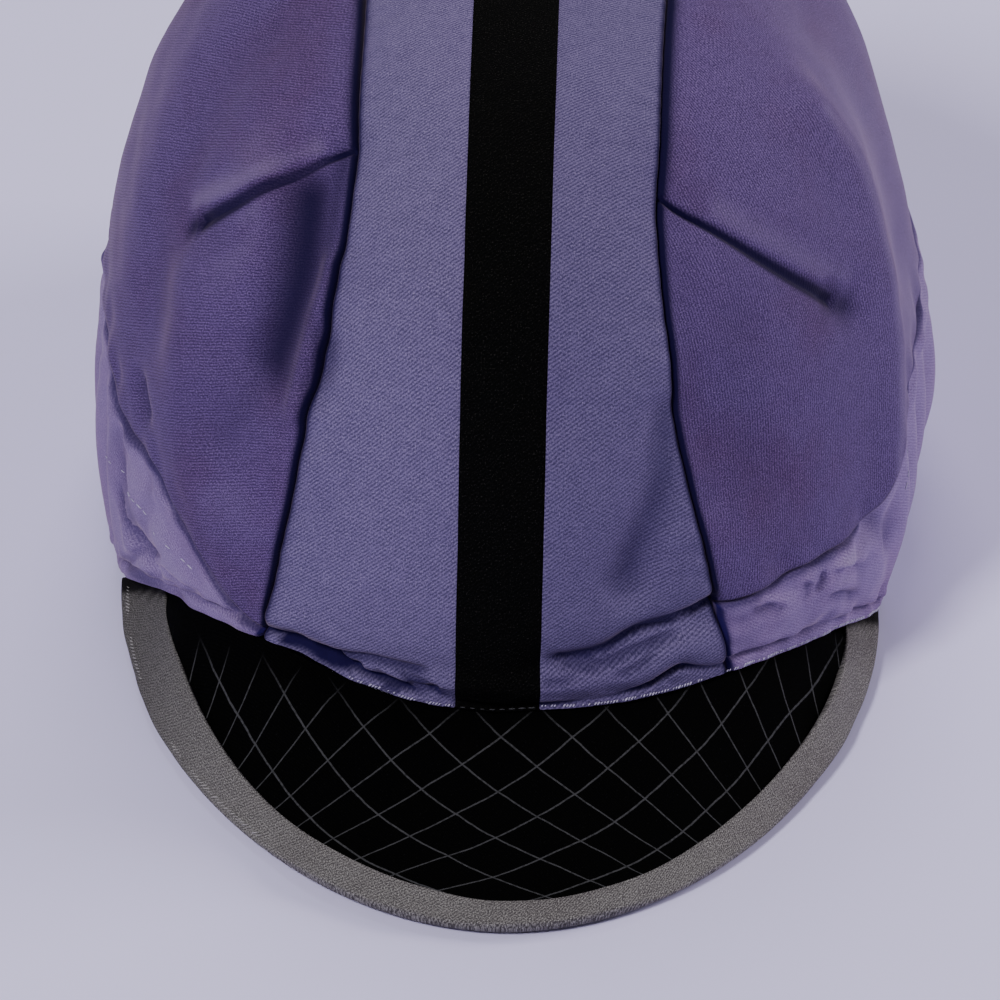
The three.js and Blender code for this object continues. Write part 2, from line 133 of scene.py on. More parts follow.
def mix(start: Array, end: Array, share: Array) -> Array:
    """The value at a share of the way from start to end."""
    return start + (end - start) * share


def lay_shades(*shades: Array) -> Array:
    """Lays painted shades over each other: the darkest (up to 1) together with the lightest (down to -1)."""
    stack = np.stack([np.zeros(np.shape(shades[0])), *shades])
    return stack.max(axis=0) + stack.min(axis=0)


def groove_shade(distance: Array, reach: float = 1.2) -> Array:
    """How much shade is painted beside a seam: most in the seam's own groove."""
    return np.minimum(1, 1.3 * bell(np.maximum(distance, 0), reach))


def quarter_round(distance: Array, radius: float, depth: float) -> Array:
    """How deep an edge of the cloth rolls in at a distance from its seam."""
    t = np.clip(1 - distance / radius, 0, 1)
    return -depth * (1 - np.sqrt(1 - t**2))


def bisect(low: float, high: float, test: Callable[[Array], Array], count: int) -> Array:
    """Finds where a test changes its sign, for many lines at once.

    Args:
        low: lower end of the range.
        high: upper end of the range.
        test: takes one value for each line and gives a number whose sign changes once.
        count: how many lines there are.

    Returns:
        The value of each line at which its sign changes.
    """
    under, over = np.full(count, float(low)), np.full(count, float(high))
    sign = np.sign(test(under))
    for _ in range(HALVINGS):
        middle = (under + over) / 2
        same = np.sign(test(middle)) == sign
        under = np.where(same, middle, under)
        over = np.where(same, over, middle)
    return (under + over) / 2


def cloth_noise(points: Array, wavelength: float, seed: int) -> Array:
    """Smooth uneven waves in space, the same each run.

    Args:
        points: places in millimetres.
        wavelength: mean length of the waves.
        seed: picks the waves.

    Returns:
        A height for each place, mostly between -1.5 and 1.5.
    """
    draw = np.random.default_rng(seed)
    total = np.zeros(len(points))
    for _ in range(NOISE_WAVES):
        way = draw.normal(size=3)
        way /= np.linalg.norm(way)
        turn = 2 * math.pi / (wavelength * draw.uniform(0.7, 1.45))
        total += np.sin(points @ way * turn + draw.uniform(0, 2 * math.pi))
    return total * math.sqrt(2 / NOISE_WAVES)


def slight_waves(points: Array, fine: float) -> Array:
    """The crown cloth's own slight waves, with finer ones of the given height."""
    return 0.22 * cloth_noise(points, 34, 11) + fine * cloth_noise(points, 12, 12)


# The crown's form


@dataclass(frozen=True)
class Dome:
    """The crown's smooth form. A place on it is a row of shares of the half width, half depth and height."""

    half_width: float = 80.5
    half_depth: float = 97.0
    height: float = 136.0
    plan_power: float = 2.12
    profile_power: float = 3.0
    swell: float = 0.04
    swell_power: float = 0.6
    search: tuple[float, float] = (0.1, 1.2)  # shares of the height between which a place is looked for

    def plan(self, side: Array, front: Array) -> Array:
        """How far out a place lies in plan: 1 on the foot's line."""
        return np.abs(side) ** self.plan_power + np.abs(front) ** self.plan_power

    def onto(self, shares: Array) -> Array:
        """Moves places onto the dome, along the line from its foot's middle."""
        plan = self.plan(shares[:, 0], shares[:, 1])
        level = plan ** (self.profile_power / self.plan_power) + np.abs(shares[:, 2]) ** self.profile_power
        return shares * level[:, None] ** (-1 / self.profile_power)

    def spread(self, level: Array) -> Array:
        """How much wider than the rim's ellipse the crown is at a level."""
        return 1 + self.swell * np.sin(math.pi * np.clip(level, 0, 1) ** self.swell_power)

    def point(self, shares: Array) -> Array:
        """The places in millimetres."""
        across, back, up = shares.T
        wide = self.spread(up)
        across, back = across * self.half_width * wide, back * self.half_depth * wide
        return np.column_stack([across, back, up * self.height])

    def normal(self, shares: Array) -> Array:
        """The ways out of the dome there."""
        plan = np.maximum(self.plan(shares[:, 0], shares[:, 1]), 1e-9)
        grow = plan ** (self.profile_power / self.plan_power - 1)
        pull = np.sign(shares[:, :2]) * np.abs(shares[:, :2]) ** (self.plan_power - 1) * grow[:, None]
        lift = np.abs(shares[:, 2]) ** (self.profile_power - 1) / self.height
        way = np.column_stack([pull[:, 0] / self.half_width, pull[:, 1] / self.half_depth, lift])
        return way / np.linalg.norm(way, axis=1)[:, None]

    def at_height(self, angle: Array, height: Array) -> Array:
        """Places at an angle from the front (degrees, right is positive) and a height over the table."""
        level = np.clip(np.asarray(height, float) / self.height, 0, 1)
        radius = (1 - level**self.profile_power) ** (1 / self.profile_power)
        side = np.sin(np.asarray(angle, float) * DEGREE)
        front = np.cos(np.asarray(angle, float) * DEGREE)
        circle = self.plan(side, front) ** (-1 / self.plan_power)
        return np.column_stack([side * circle * radius, -front * circle * radius, level])

    def at_arc(self, distance: Array, arc: Array) -> Array:
        """Places at a distance from the middle and an arc angle from the front (0) over the top (90)."""
        back, up = -np.cos(arc * DEGREE), np.sin(arc * DEGREE)

        def place(reach: Array) -> Array:
            across = distance / (self.half_width * self.spread(up * reach))
            return np.column_stack([across, back * reach, up * reach])

        def over(reach: Array) -> Array:
            shares = place(reach)
            return np.linalg.norm(shares, axis=1) - np.linalg.norm(self.onto(shares), axis=1)

        return self.onto(place(bisect(*self.search, over, len(distance))))


def angle_of(shares: Array) -> Array:
    """Angle of places from the front, in degrees."""
    return np.arctan2(shares[:, 0], -shares[:, 1]) / DEGREE


# Cloth on the crown, its folds and its creases


@dataclass
class Cloth:
    """Cloth of a piece, worked out for a set of places.

    Args:
        outer: places of its outer face, in millimetres.
        inner: the same of its inner face.
        lay_out: the cloth's own flat coordinates, in millimetres.
        dark: shade painted on its outer face, 0 to 1, or light painted there, 0 to -1.
    """

    outer: Array
    inner: Array
    lay_out: Array
    dark: Array


@dataclass
class Lay:
    """The places of a piece's cloth on the dome, before folds move them."""

    shares: Array
    point: Array
    normal: Array

    @property
    def angle(self) -> Array:
        """Degrees from the front."""
        return angle_of(self.shares)

    @property
    def height(self) -> Array:
        """Millimetres over the table."""
        return self.point[:, 2]

    def raised(self, rise: Array) -> Array:
        """The places moved out by so many millimetres."""
        return self.point + self.normal * rise[:, None]

    def wall(self, rise: Array, thickness: float, lay_out: Array, dark: Array) -> Cloth:
        """A wall of cloth whose outer face is moved out by the rise."""
        return Cloth(self.raised(rise), self.raised(rise - thickness), lay_out, dark)


@dataclass(frozen=True)
class FoldLine:
    """A line on the crown, smooth through spots of (degrees from the front, millimetres over the table)."""

    spots: tuple[tuple[float, float], ...]

    def run(self, steps: int) -> tuple[Array, Array]:
        """Angles and heights at a number of steps along it."""
        keys = np.arange(len(self.spots), dtype=float)
        at = np.linspace(0, keys[-1], steps)
        angle, height = np.array(self.spots, float).T
        return smooth_curve(keys, angle, at), smooth_curve(keys, height, at)

    def measure(self, dome: Dome, lay: Lay, reach: float) -> tuple[Array, Array]:
        """Measures how the cloth lies to the line.

        Args:
            dome: the crown's form.
            lay: the places of the cloth.
            reach: beyond this many millimetres the distance isn't worked out.

        Returns:
            The distance of each place, above 0 on the left of the line as one goes along it outside the
            crown, and the share of the line's length at its nearest point.
        """
        route = dome.point(dome.at_height(*self.run(LINE_STEPS)))
        distance = np.full(len(lay.point), 1e3)
        share = np.zeros(len(lay.point))
        low, high = route.min(axis=0) - reach, route.max(axis=0) + reach
        near = np.flatnonzero(np.all((lay.point > low) & (lay.point < high), axis=1))
        best = np.full(len(near), 1e3)
        point, normal = lay.point[near], lay.normal[near]
        for index in range(len(route) - 1):
            along = route[index + 1] - route[index]
            length = np.linalg.norm(along)
            t = np.clip((point - route[index]) @ along / length**2, 0, 1)
            off = point - route[index] - t[:, None] * along
            apart = np.linalg.norm(off, axis=1)
            closer = apart < best
            left = np.sign(np.einsum("ij,ij->i", off, np.cross(normal, along / length)))
            distance[near[closer]] = (apart * np.where(left < 0, -1, 1))[closer]
            share[near[closer]] = ((index + t) / (len(route) - 1))[closer]
            best = np.where(closer, apart, best)
        return distance, share


@dataclass(frozen=True)
class SoftFold:
    """A rounded fold of the cloth.

    Args:
        rise: how far it stands out or, below zero, sinks in.
        width: distance at which it has mostly gone.
        line: where it runs.
        shade: how much shade is painted into its bottom, 0 to 1, or light onto its top, 0 to -1.
    """

    rise: float
    width: float
    line: FoldLine
    shade: float = 0.0

    def form(self, dome: Dome, lay: Lay) -> tuple[Array, Array]:
        """How far the fold moves each place out, and the shade or light painted there."""
        distance, _ = self.line.measure(dome, lay, 3 * self.width)
        strength = bell(distance, self.width)
        return self.rise * strength, self.shade * strength ** (1.3 if self.shade > 0 else 1)


@dataclass(frozen=True)
class Crease:
    """A sharp crease.

    Args:
        depth: how deep it is.
        left_width: distance over which its left side falls into it.
        right_width: the same on its right side.
        line: where it runs.
        left_lip: height of the raised lip on its left side.
        right_lip: the same on its right side.
        start: its width at the line's start, as a share of the widths above.
        end: the same at the line's end.
        fade_in: share of the line's length over which it deepens.
        fade_out: share over which it ends.
        shade: how much shade is painted into its bottom, 0 to 1.
        lip_place: how many widths the lip lies from the line.
    """

    depth: float
    left_width: float
    right_width: float
    line: FoldLine
    left_lip: float = 0.0
    right_lip: float = 0.0
    start: float = 1.0
    end: float = 1.0
    fade_in: float = 0.08
    fade_out: float = 0.08
    shade: float = 0.7
    lip_place: float = 1.9

    def form(self, dome: Dome, lay: Lay) -> tuple[Array, Array]:
        """How far the crease moves each place out, and the shade painted there."""
        widest = max(self.left_width, self.right_width) * max(self.start, self.end)
        distance, share = self.line.measure(dome, lay, 6 * widest)
        strength = ease(share / self.fade_in) * ease((1 - share) / self.fade_out)
        width = np.where(distance > 0, self.left_width, self.right_width) * mix(self.start, self.end, share)
        lip = np.where(distance > 0, self.left_lip, self.right_lip)
        deep = np.exp(-np.abs(distance / width) ** 1.4)
        raised = lip * np.exp(-((np.abs(distance) / width - self.lip_place) ** 2))
        core = np.minimum(1, 1.8 * bell(distance, width))
        return strength * (raised - self.depth * deep), self.shade * strength * core


def line(*spots: tuple[float, float]) -> FoldLine:
    """A fold line through (angle, height) spots."""
    return FoldLine(spots)


LEFT_DART = line((-59.5, 95), (-53.2, 102.8), (-47.2, 110.4), (-40.6, 116.6), (-33, 121))
RIGHT_DART = line((28.8, 116.5), (37, 109), (45.5, 99.2), (56.8, 84.4))

LEFT_HOLLOW = line((-39.6, 111.5), (-38.2, 107), (-36.8, 99), (-36.8, 91), (-37.4, 84))
RIGHT_HOLLOW = line((29.5, 112), (28.4, 100), (28.6, 87), (29.2, 77), (30, 64))
RIGHT_STAND = line((68.2, 112.7), (69.4, 100), (68, 86.9), (64.5, 61.1), (62.2, 40))
RIGHT_TUCK = line((31, 40), (24.2, 37.2), (18.8, 36.6), (13.5, 33), (6, 31.9))
RIGHT_LOW_TUCK = line((27, 35), (18.8, 32.8), (13, 30.4), (8, 31))
LEFT_TUCK = line((-31, 27.9), (-26.8, 27.6), (-22.5, 26.4), (-18, 27.4))
LEFT_LOW_TUCK = line((-17.5, 28.4), (-14.6, 26), (-10, 25.4), (-7.6, 26))
BAND_TUCK = line((-66, 11.6), (-57.7, 17), (-51, 21.4), (-43.5, 25.6))
BAND_END_TUCK = line((-53, 26), (-48, 26.6), (-42, 29))

dart_crease = partial(Crease, 1.2, 1.1, shade=1.0)
short_crease = partial(Crease, fade_in=0.3, fade_out=0.3)

# Each fold's shade is painted into the cloth's colour: shade in its bottom or, below zero, light on its top.
# The band's table below works the same way.
CROWN_FOLDS = (
    SoftFold(-0.8, 6.0, LEFT_DART, 0.12),
    SoftFold(-0.6, 3.0, line((-58.4, 96.4), (-60.2, 93.8)), 0.85),
    SoftFold(0.15, 3.0, line((-61.8, 97.6), (-54.6, 105.4), (-47.8, 112.8), (-41, 118)), -0.3),
    SoftFold(-4.2, 8.2, LEFT_HOLLOW, 0.95),
    SoftFold(-0.4, 4.6, line((-34.4, 119), (-33.4, 111), (-32.4, 103)), 0.6),
    SoftFold(-0.5, 6.5, line((-38.4, 82), (-39.8, 74), (-41.6, 66)), 0.42),
    SoftFold(-1.2, 13.0, line((-37, 104), (-38.6, 92), (-40.4, 80), (-42, 66)), 0.3),
    SoftFold(-1.0, 5.0, line((-53, 97), (-47, 102)), 0.15),
    SoftFold(-2.4, 12.0, line((-72, 124), (-67, 104), (-62, 78)), 0.1),
    SoftFold(1.4, 9.0, line((-56, 84), (-50, 66), (-43, 50))),
    # The next three paint light: over the left panel's middle, along the right standing fold's ridge and over
    # the right panel's far side.
    SoftFold(0.3, 9.0, line((-49.5, 109.7), (-45.2, 98), (-42.6, 84.5), (-41, 69), (-40, 58)), -0.16),
    SoftFold(0.0, 1.6, RIGHT_STAND, -0.16),
    SoftFold(0.0, 24.0, line((90, 96), (87, 78), (84, 60)), -0.2),
    SoftFold(2.0, 3.0, line((-30.4, 104), (-30.2, 92), (-30.6, 78))),
    SoftFold(-0.8, 6.0, RIGHT_DART, 0.1),
    SoftFold(-1.0, 3.6, line((55, 87), (58, 83)), 0.75),
    SoftFold(0.1, 3.0, line((39, 111.2), (47.6, 101.4), (58.6, 87)), -0.16),
    SoftFold(-1.6, 6.0, RIGHT_HOLLOW, 0.15),
    SoftFold(-1.6, 9.0, line((36.8, 92), (34.6, 77), (36, 62)), 0.16),
    SoftFold(3.0, 8.0, RIGHT_STAND),
    SoftFold(-3.8, 14.0, line((91, 113), (84, 72))),
    SoftFold(-1.8, 12.0, line((106, 80), (102, 60))),
    SoftFold(0.9, 17.0, line((-112, 99), (-99, 78))),
    SoftFold(-1.4, 4.0, line((-27, 28.4), (-16.8, 29.5), (-7, 29)), 0.1),
    SoftFold(-1.8, 4.0, line((29, 38), (18.8, 36), (6, 31.5)), 0.15),
    SoftFold(-2.6, 5.6, line((24, 79.7), (23.2, 72.5), (21.8, 64.8), (19.5, 57.2), (17.5, 49.2)), 0.55),
    SoftFold(-2.2, 3.4, line((-28.6, 93), (-27.4, 89.5), (-28.4, 84)), 0.6),
    SoftFold(-2.0, 3.2, line((-61.5, 58), (-59, 55.4)), 0.4),
    dart_crease(1.1, LEFT_DART, left_lip=0.15, start=1.7, end=0.5, fade_in=0.03, fade_out=0.02),
    dart_crease(1.0, RIGHT_DART, left_lip=0.1, start=0.5, end=1.5, fade_in=0.02, fade_out=0.03),
    Crease(1.9, 0.8, 1.6, RIGHT_TUCK, right_lip=0.5, shade=0.85),
    Crease(1.2, 0.8, 1.2, RIGHT_LOW_TUCK, right_lip=0.4, fade_in=0.2, shade=0.6),
    short_crease(0.9, 0.7, 1.1, line((22, 33.4), (19, 29.8), (14, 27.6)), right_lip=0.3, shade=0.5),
    short_crease(0.8, 0.6, 1.0, line((12, 29), (8, 27.4), (5, 27.8)), right_lip=0.3, shade=0.4),
    Crease(1.4, 0.8, 1.4, line((-26.5, 28.4), (-21, 29.2), (-16.8, 30.4), (-8.5, 29.4)), right_lip=0.3),
    Crease(1.7, 0.8, 1.3, LEFT_TUCK, right_lip=0.4, shade=1.0),
    short_crease(1.2, 0.6, 1.1, line((-24, 29.6), (-21, 27), (-19.4, 24.8)), left_lip=0.3, shade=0.8),
    Crease(1.1, 0.6, 1.1, LEFT_LOW_TUCK, right_lip=0.3, fade_in=0.3),
    short_crease(0.8, 0.6, 0.9, line((-13, 29.8), (-11.6, 27.6), (-9, 26.8)), right_lip=0.3, shade=0.5),
)

BAND_FOLDS = (
    SoftFold(-2.2, 3.0, line((-58.5, 25.6), (-55.6, 24.2)), 0.6),
    SoftFold(0.9, 4.0, line((-52, 33), (-49, 28), (-46, 27)), -0.3),
    SoftFold(0.0, 3.0, line((-63, 20), (-57, 20.5), (-51, 24)), -0.25),
    SoftFold(-1.0, 3.4, line((-66, 40), (-61, 33), (-58, 27)), 0.3),
    Crease(1.2, 0.7, 1.5, line((-66, 33), (-62, 28), (-57.5, 24.5)), right_lip=0.5, fade_in=0.4, shade=0.55),
    Crease(1.2, 0.7, 1.5, line((-50, 31), (-54, 27), (-57, 24.5)), left_lip=0.5, fade_in=0.4, shade=0.55),
    Crease(1.0, 0.7, 1.4, line((-57.5, 24), (-61, 17), (-66, 11.5)), right_lip=0.4, fade_out=0.4, shade=0.5),
    Crease(1.3, 0.7, 1.6, BAND_TUCK, right_lip=0.5, fade_out=0.3, shade=0.55),
    Crease(1.1, 0.7, 1.4, BAND_END_TUCK, right_lip=0.3, fade_in=0.3, fade_out=0.4, shade=0.4),
    short_crease(1.1, 0.7, 1.4, line((34, 35.5), (38, 33.6), (41, 30)), left_lip=0.4, fade_in=0.2, shade=0.4),
    short_crease(0.8, 0.6, 1.1, line((43, 36), (44, 33), (43.4, 30)), left_lip=0.3, shade=0.35),
    short_crease(0.8, 0.6, 1.1, line((46.4, 36), (46.6, 33), (45.4, 30.6)), left_lip=0.3, shade=0.35),
    short_crease(1.2, 0.7, 1.4, line((47, 34), (51.8, 31.4), (56, 27)), left_lip=0.5, shade=0.4),
    short_crease(1.2, 0.7, 1.4, line((46, 29), (51, 26), (56, 19)), left_lip=0.4, shade=0.4),
    SoftFold(-1.4, 3.2, line((58, 36), (61, 31), (62, 27)), 0.35),
    SoftFold(0.6, 3.2, line((50.5, 33), (53, 31)), -0.35),
)


@dataclass(frozen=True)
class Crown:
    """The crown's dome with the lines where its pieces meet.

    Args:
        dome: its form.
        stripe_half: half the dark stripe's width.
        seam_roll: how deep the edges roll into the seams.
        seam_radius: distance from a seam at which they begin to.
        rim: height of the lower edge by degrees from the front.
        band_top: height of the band's upper edge, the same way.
        seam: distance of the long seams from the middle by the arc over the top.
    """

    dome: Dome = Dome()
    stripe_half: float = 8.2
    seam_roll: float = 1.8
    seam_radius: float = 1.5
    rim: SideTable = SideTable(
        (
            (0, 21, 21),
            (14, 22.4, 21.4),
            (30, 26.2, 22),
            (40, 24.8, 20.2),
            (51, 19.9, 16),
            (60, 13.3, 9),
            (68, 6.2, 2.6),
            (77, 0, 0),
            (180, 0, 0),
        )
    )
    band_top: SideTable = SideTable(
        (
            (28, 28, 38.8),
            (36, 28.8, 37.8),
            (42, 35, 38.4),
            (48, 42, 37.6),
            (54, 46.8, 37),
            (60, 47, 38.6),
            (67, 48, 46.5),
            (76, 54, 52.5),
            (100, 55, 55),
            (140, 52, 52),
            (180, 50, 50),
        )
    )
    seam: SideTable = SideTable(
        (
            (0, 49, 47),
            (16, 45.4, 43),
            (32, 38.7, 35.2),
            (48, 32, 29.4),
            (60, 29.8, 28.6),
            (90, 29.4, 29.4),
            (130, 28.5, 28.5),
            (180, 24, 24),
        )
    )

    def rim_height(self, angle: Array) -> Array:
        """Height of the crown's lower edge over the table."""
        return np.maximum(0, self.rim.read(np.abs(angle), angle > 0))

    def band_height(self, angle: Array) -> Array:
        """Height of the band's upper edge over the table."""
        return self.band_top.read(np.abs(angle), angle > 0)

    def seam_distance(self, side: Side, arc: Array) -> Array:
        """Distance of the long seam from the middle, below zero on the left."""
        return side.value * self.seam.read(arc, np.full(np.shape(arc), side is Side.RIGHT))

    def seam_place(self, side: Side, arc: Array) -> Array:
        """Places on the long seam."""
        return self.dome.at_arc(self.seam_distance(side, arc), arc)

    def crossing(self, place: Callable, height: Callable, arcs: tuple[float, float], count: int) -> Array:
        """Finds where lines that run over the crown cross a height.

        Args:
            place: gives the lines' places for an arc of each.
            height: gives the height for the angles of those places.
            arcs: the two arcs between which they cross it.
            count: how many lines there are.

        Returns:
            The arc of each line there.
        """

        def over(arc: Array) -> Array:
            shares = place(arc)
            return shares[:, 2] * self.dome.height - height(angle_of(shares))

        return bisect(*arcs, over, count)

    def lay(self, shares: Array) -> Lay:
        """The cloth's places on the dome."""
        return Lay(shares, self.dome.point(shares), self.dome.normal(shares))

    def lay_at(self, angle: Array, height: Array) -> Lay:
        """The same for angles from the front and heights over the table."""
        return self.lay(self.dome.at_height(angle, height))

    def fold_form(self, lay: Lay, folds: tuple = CROWN_FOLDS) -> tuple[Array, Array]:
        """How far all the folds together move the cloth out, and the shade and light they paint on it."""
        rises, shades = zip(*(fold.form(self.dome, lay) for fold in folds))
        return sum(rises), lay_shades(*shades)

    def seam_drop(self, distance: Array) -> Array:
        """How deep a panel's edge rolls in at a distance from its seam."""
        return quarter_round(distance, self.seam_radius, self.seam_roll)


# Meshes of cloth


def finer(near: Array, twice: float, once: float) -> Array:
    """How many times cells are halved, by their distance to the nearest edge or seam."""
    return np.where(near < twice, 2, np.where(near < once, 1, 0))


@dataclass(frozen=True)
class Weaver:
    """Makes one closed wall of cloth from a piece laid out over two shares, across and along.

    Args:
        shape: gives both faces of the cloth for arrays of the two shares.
        fineness: gives how many times each place's cell is halved, 0 to 2.
        columns: cells across.
        rows: cells along.
        flip: true where the shares run the other way round, as seen from outside.
    """

    shape: Callable[[Array, Array], Cloth]
    fineness: Callable[[Array, Array], Array]
    columns: int
    rows: int
    flip: bool = False

    def weave(self, name: str) -> bpy.types.Object:
        """Builds the wall as a new object, in the frame's metres."""
        flat = self._sheet()
        cloth = self.shape(*self._shares(flat))
        for vert, place in zip(flat.verts, cloth.outer):
            vert.co = place
        bmesh.ops.remove_doubles(flat, verts=flat.verts, dist=MERGE_DISTANCE)
        wide = [face for face in flat.faces if len(face.verts) > 4]
        bmesh.ops.triangulate(flat, faces=wide)
        flat.verts.index_update()
        cloth = self.shape(*self._shares(flat))
        faces = [[vert.index for vert in face.verts] for face in flat.faces]
        rim = [self._border_pair(edge) for edge in flat.edges if edge.is_boundary]
        flat.free()
        if self.flip:
            faces = [face[::-1] for face in faces]
            rim = [(end, start) for start, end in rim]
        return wall_object(name, cloth, faces, rim)

    def _sheet(self) -> bmesh.types.BMesh:
        """The flat grid of cells, halved where the cloth needs it."""
        sheet = bmesh.new()
        across = [column / self.columns for column in range(self.columns + 1)]
        along = [row / self.rows for row in range(self.rows + 1)]
        grid = [[sheet.verts.new((x, y, 0)) for x in across] for y in along]
        for low, high in zip(grid[:-1], grid[1:]):
            for a, b, c, d in zip(low[:-1], low[1:], high[1:], high[:-1]):
                sheet.faces.new((a, b, c, d))
        for level in (1, 2):
            sheet.verts.index_update()
            places = np.array([vert.co[:2] for vert in sheet.verts])
            fine = self.fineness(places[:, 0], places[:, 1]) >= level
            edges = [edge for edge in sheet.edges if fine[edge.verts[0].index] and fine[edge.verts[1].index]]
            bmesh.ops.subdivide_edges(sheet, edges=edges, cuts=1, use_grid_fill=True)
        layer = sheet.verts.layers.float_vector.new("shares")
        for vert in sheet.verts:
            vert[layer] = vert.co
        return sheet

    def _shares(self, sheet: bmesh.types.BMesh) -> tuple[Array, Array]:
        """The two shares of every point of the sheet."""
        layer = sheet.verts.layers.float_vector["shares"]
        kept = np.array([vert[layer][:2] for vert in sheet.verts])
        return kept[:, 0], kept[:, 1]

    def _border_pair(self, edge: bmesh.types.BMEdge) -> tuple[int, int]:
        """The ends of an open edge, in the order in which its one face runs."""
        loop = edge.link_loops[0]
        return loop.vert.index, loop.link_loop_next.vert.index


def wall_object(name: str, cloth: Cloth, faces: list, rim: list) -> bpy.types.Object:
    """Makes a closed wall from the outer face's cells and its open edges.

    Args:
        name: the object's name.
        cloth: both faces of the cloth.
        faces: cells of the outer face, which run the right way round.
        rim: the outer face's open edges, which run as their cells do.

    Returns:
        The object, at the origin, with the cloth's lay as its UV map.
    """
    count = len(cloth.outer)
    inner = [[index + count for index in face[::-1]] for face in faces]
    edges = [(end, start, start + count, end + count) for start, end in rim]
    made = mesh_object(name, np.vstack([cloth.outer, cloth.inner]), faces + inner + edges)
    store_map(made, "cloth", np.vstack([cloth.lay_out, cloth.lay_out]) * MM)
    store_dark(made, np.concatenate([cloth.dark, np.zeros(count)]))
    border = {frozenset(pair) for pair in rim}
    border |= {frozenset((start + count, end + count)) for start, end in rim}
    mark_sharp(made, border)
    return made


def in_frame(points: Array) -> list:
    """Points in millimetres round the crown's centre as places in the frame, in metres."""
    return ((points + np.array([0, CROWN_CENTRE_Y, 0])) * MM).tolist()


def link(name: str, data: bpy.types.ID) -> bpy.types.Object:
    """A new object with that data, in the scene."""
    made = bpy.data.objects.new(name, data)
    bpy.context.collection.objects.link(made)
    return made


def mesh_object(name: str, points: Array, faces: Sequence) -> bpy.types.Object:
    """A smooth-shaded mesh object from points in millimetres round the crown's centre."""
    mesh = bpy.data.meshes.new(name)
    mesh.from_pydata(in_frame(points), [], faces)
    mesh.polygons.foreach_set("use_smooth", np.ones(len(mesh.polygons), bool))
    mesh.update()
    return link(name, mesh)


def store_map(piece: bpy.types.Object, name: str, places: Array) -> None:
    """Stores two numbers of each point as one of the piece's UV maps."""
    layer = piece.data.uv_layers.new(name=name)
    corner = np.empty(len(piece.data.loops), int)
    piece.data.loops.foreach_get("vertex_index", corner)
    layer.data.foreach_set("uv", places[corner].astype(np.float32).ravel())


def store_dark(piece: bpy.types.Object, dark: Array) -> None:
    """Stores the shade painted at each point, 0 to 1, or the light painted there, 0 to -1."""
    layer = piece.data.attributes.new("dark", "FLOAT", "POINT")
    layer.data.foreach_set("value", np.clip(dark, -1, 1).astype(np.float32))


def mark_sharp(piece: bpy.types.Object, pairs: set) -> None:
    """Marks the edges between the given pairs of points as sharp."""
    sharp = piece.data.attributes.new("sharp_edge", "BOOLEAN", "EDGE")
    sharp.data.foreach_set("value", [frozenset(edge.vertices) in pairs for edge in piece.data.edges])


# Node trees


@dataclass(frozen=True)
class Value:
    """A number that changes over a surface: a node's output socket with Python's operators."""

    tree: "Tree"
    socket: bpy.types.NodeSocket

    def maths(self, operation: str, *others: "Value | float") -> "Value":
        """Adds a Math node that takes this value first."""
        sockets = dict(enumerate((self, *others)))
        return self.tree.node("ShaderNodeMath", {"operation": operation}, sockets).value(0)

    def __add__(self, other: "Value | float") -> "Value":
        """Adds."""
        return self.maths("ADD", other)

    def __sub__(self, other: "Value | float") -> "Value":
        """Takes away."""
        return self.maths("SUBTRACT", other)

    def __rsub__(self, other: float) -> "Value":
        """Takes this value from a plain number."""
        return self.maths("MULTIPLY_ADD", -1.0, other)

    def __mul__(self, other: "Value | float") -> "Value":
        """Multiplies."""
        return self.maths("MULTIPLY", other)

    __radd__ = __add__
    __rmul__ = __mul__

    def wave(self, length: float = 1.0) -> "Value":
        """A smooth wave between 0 and 1 that repeats every length."""
        return (self * (2 * math.pi / length)).maths("SINE") * 0.5 + 0.5

    def fold(self, length: float) -> "Value":
        """Distance to the nearest whole multiple of the length."""
        return self.maths("PINGPONG", length / 2)

    def above(self, low: float, high: float) -> "Value":
        """Rises smoothly from 0 at low to 1 at high."""
        sockets = {"Value": self, "From Min": low, "From Max": high}
        return self.tree.node("ShaderNodeMapRange", {"interpolation_type": "SMOOTHSTEP"}, sockets).value(0)

    def most(self, other: "Value | float") -> "Value":
        """The larger of two."""
        return self.maths("MAXIMUM", other)


@dataclass(frozen=True)
class Made:
    """A node that has just been made."""

    tree: "Tree"
    node: bpy.types.Node

    def value(self, output: int | str) -> Value:
        """One of its outputs, by number, identifier or name."""
        return Value(self.tree, pick_socket(self.node.outputs, output))


def pick_socket(sockets: Sequence, key: int | str) -> bpy.types.NodeSocket:
    """Finds a socket by its number, identifier or name."""
    if isinstance(key, int):
        return sockets[key]
    return next(socket for socket in sockets if key in (socket.identifier, socket.name))


@dataclass
class Tree:
    """A node tree that is being built."""

    tree: bpy.types.NodeTree

    def node(self, kind: str, settings: dict | None = None, sockets: dict | None = None) -> Made:
        """Adds a node.

        Args:
            kind: the node's type.
            settings: its own settings, set first.
            sockets: values or links of its inputs, by number, identifier or name.

        Returns:
            The node.
        """
        made = self.tree.nodes.new(kind)
        for name, setting in (settings or {}).items():
            setattr(made, name, setting)
        for key, given in (sockets or {}).items():
            socket = pick_socket(made.inputs, key)
            if isinstance(given, Value):
                self.tree.links.new(given.socket, socket)
            else:
                socket.default_value = given
        return Made(self, made)


# Finishes

Colour = tuple[float, float, float]


def linear(red: int, green: int, blue: int) -> Colour:
    """A colour as the shader wants it, from its screen values of 0 to 255."""
    darkest = 10
    return tuple(
        ((value / 255 + 0.055) / 1.055) ** 2.4 if value > darkest else value / 255 / 12.92
        for value in (red, green, blue)
    )


def full_colour(given: Value | Colour) -> Value | tuple:
    """A plain colour with its alpha, or the link as it is."""
    return given if isinstance(given, Value) else (*given, 1.0)


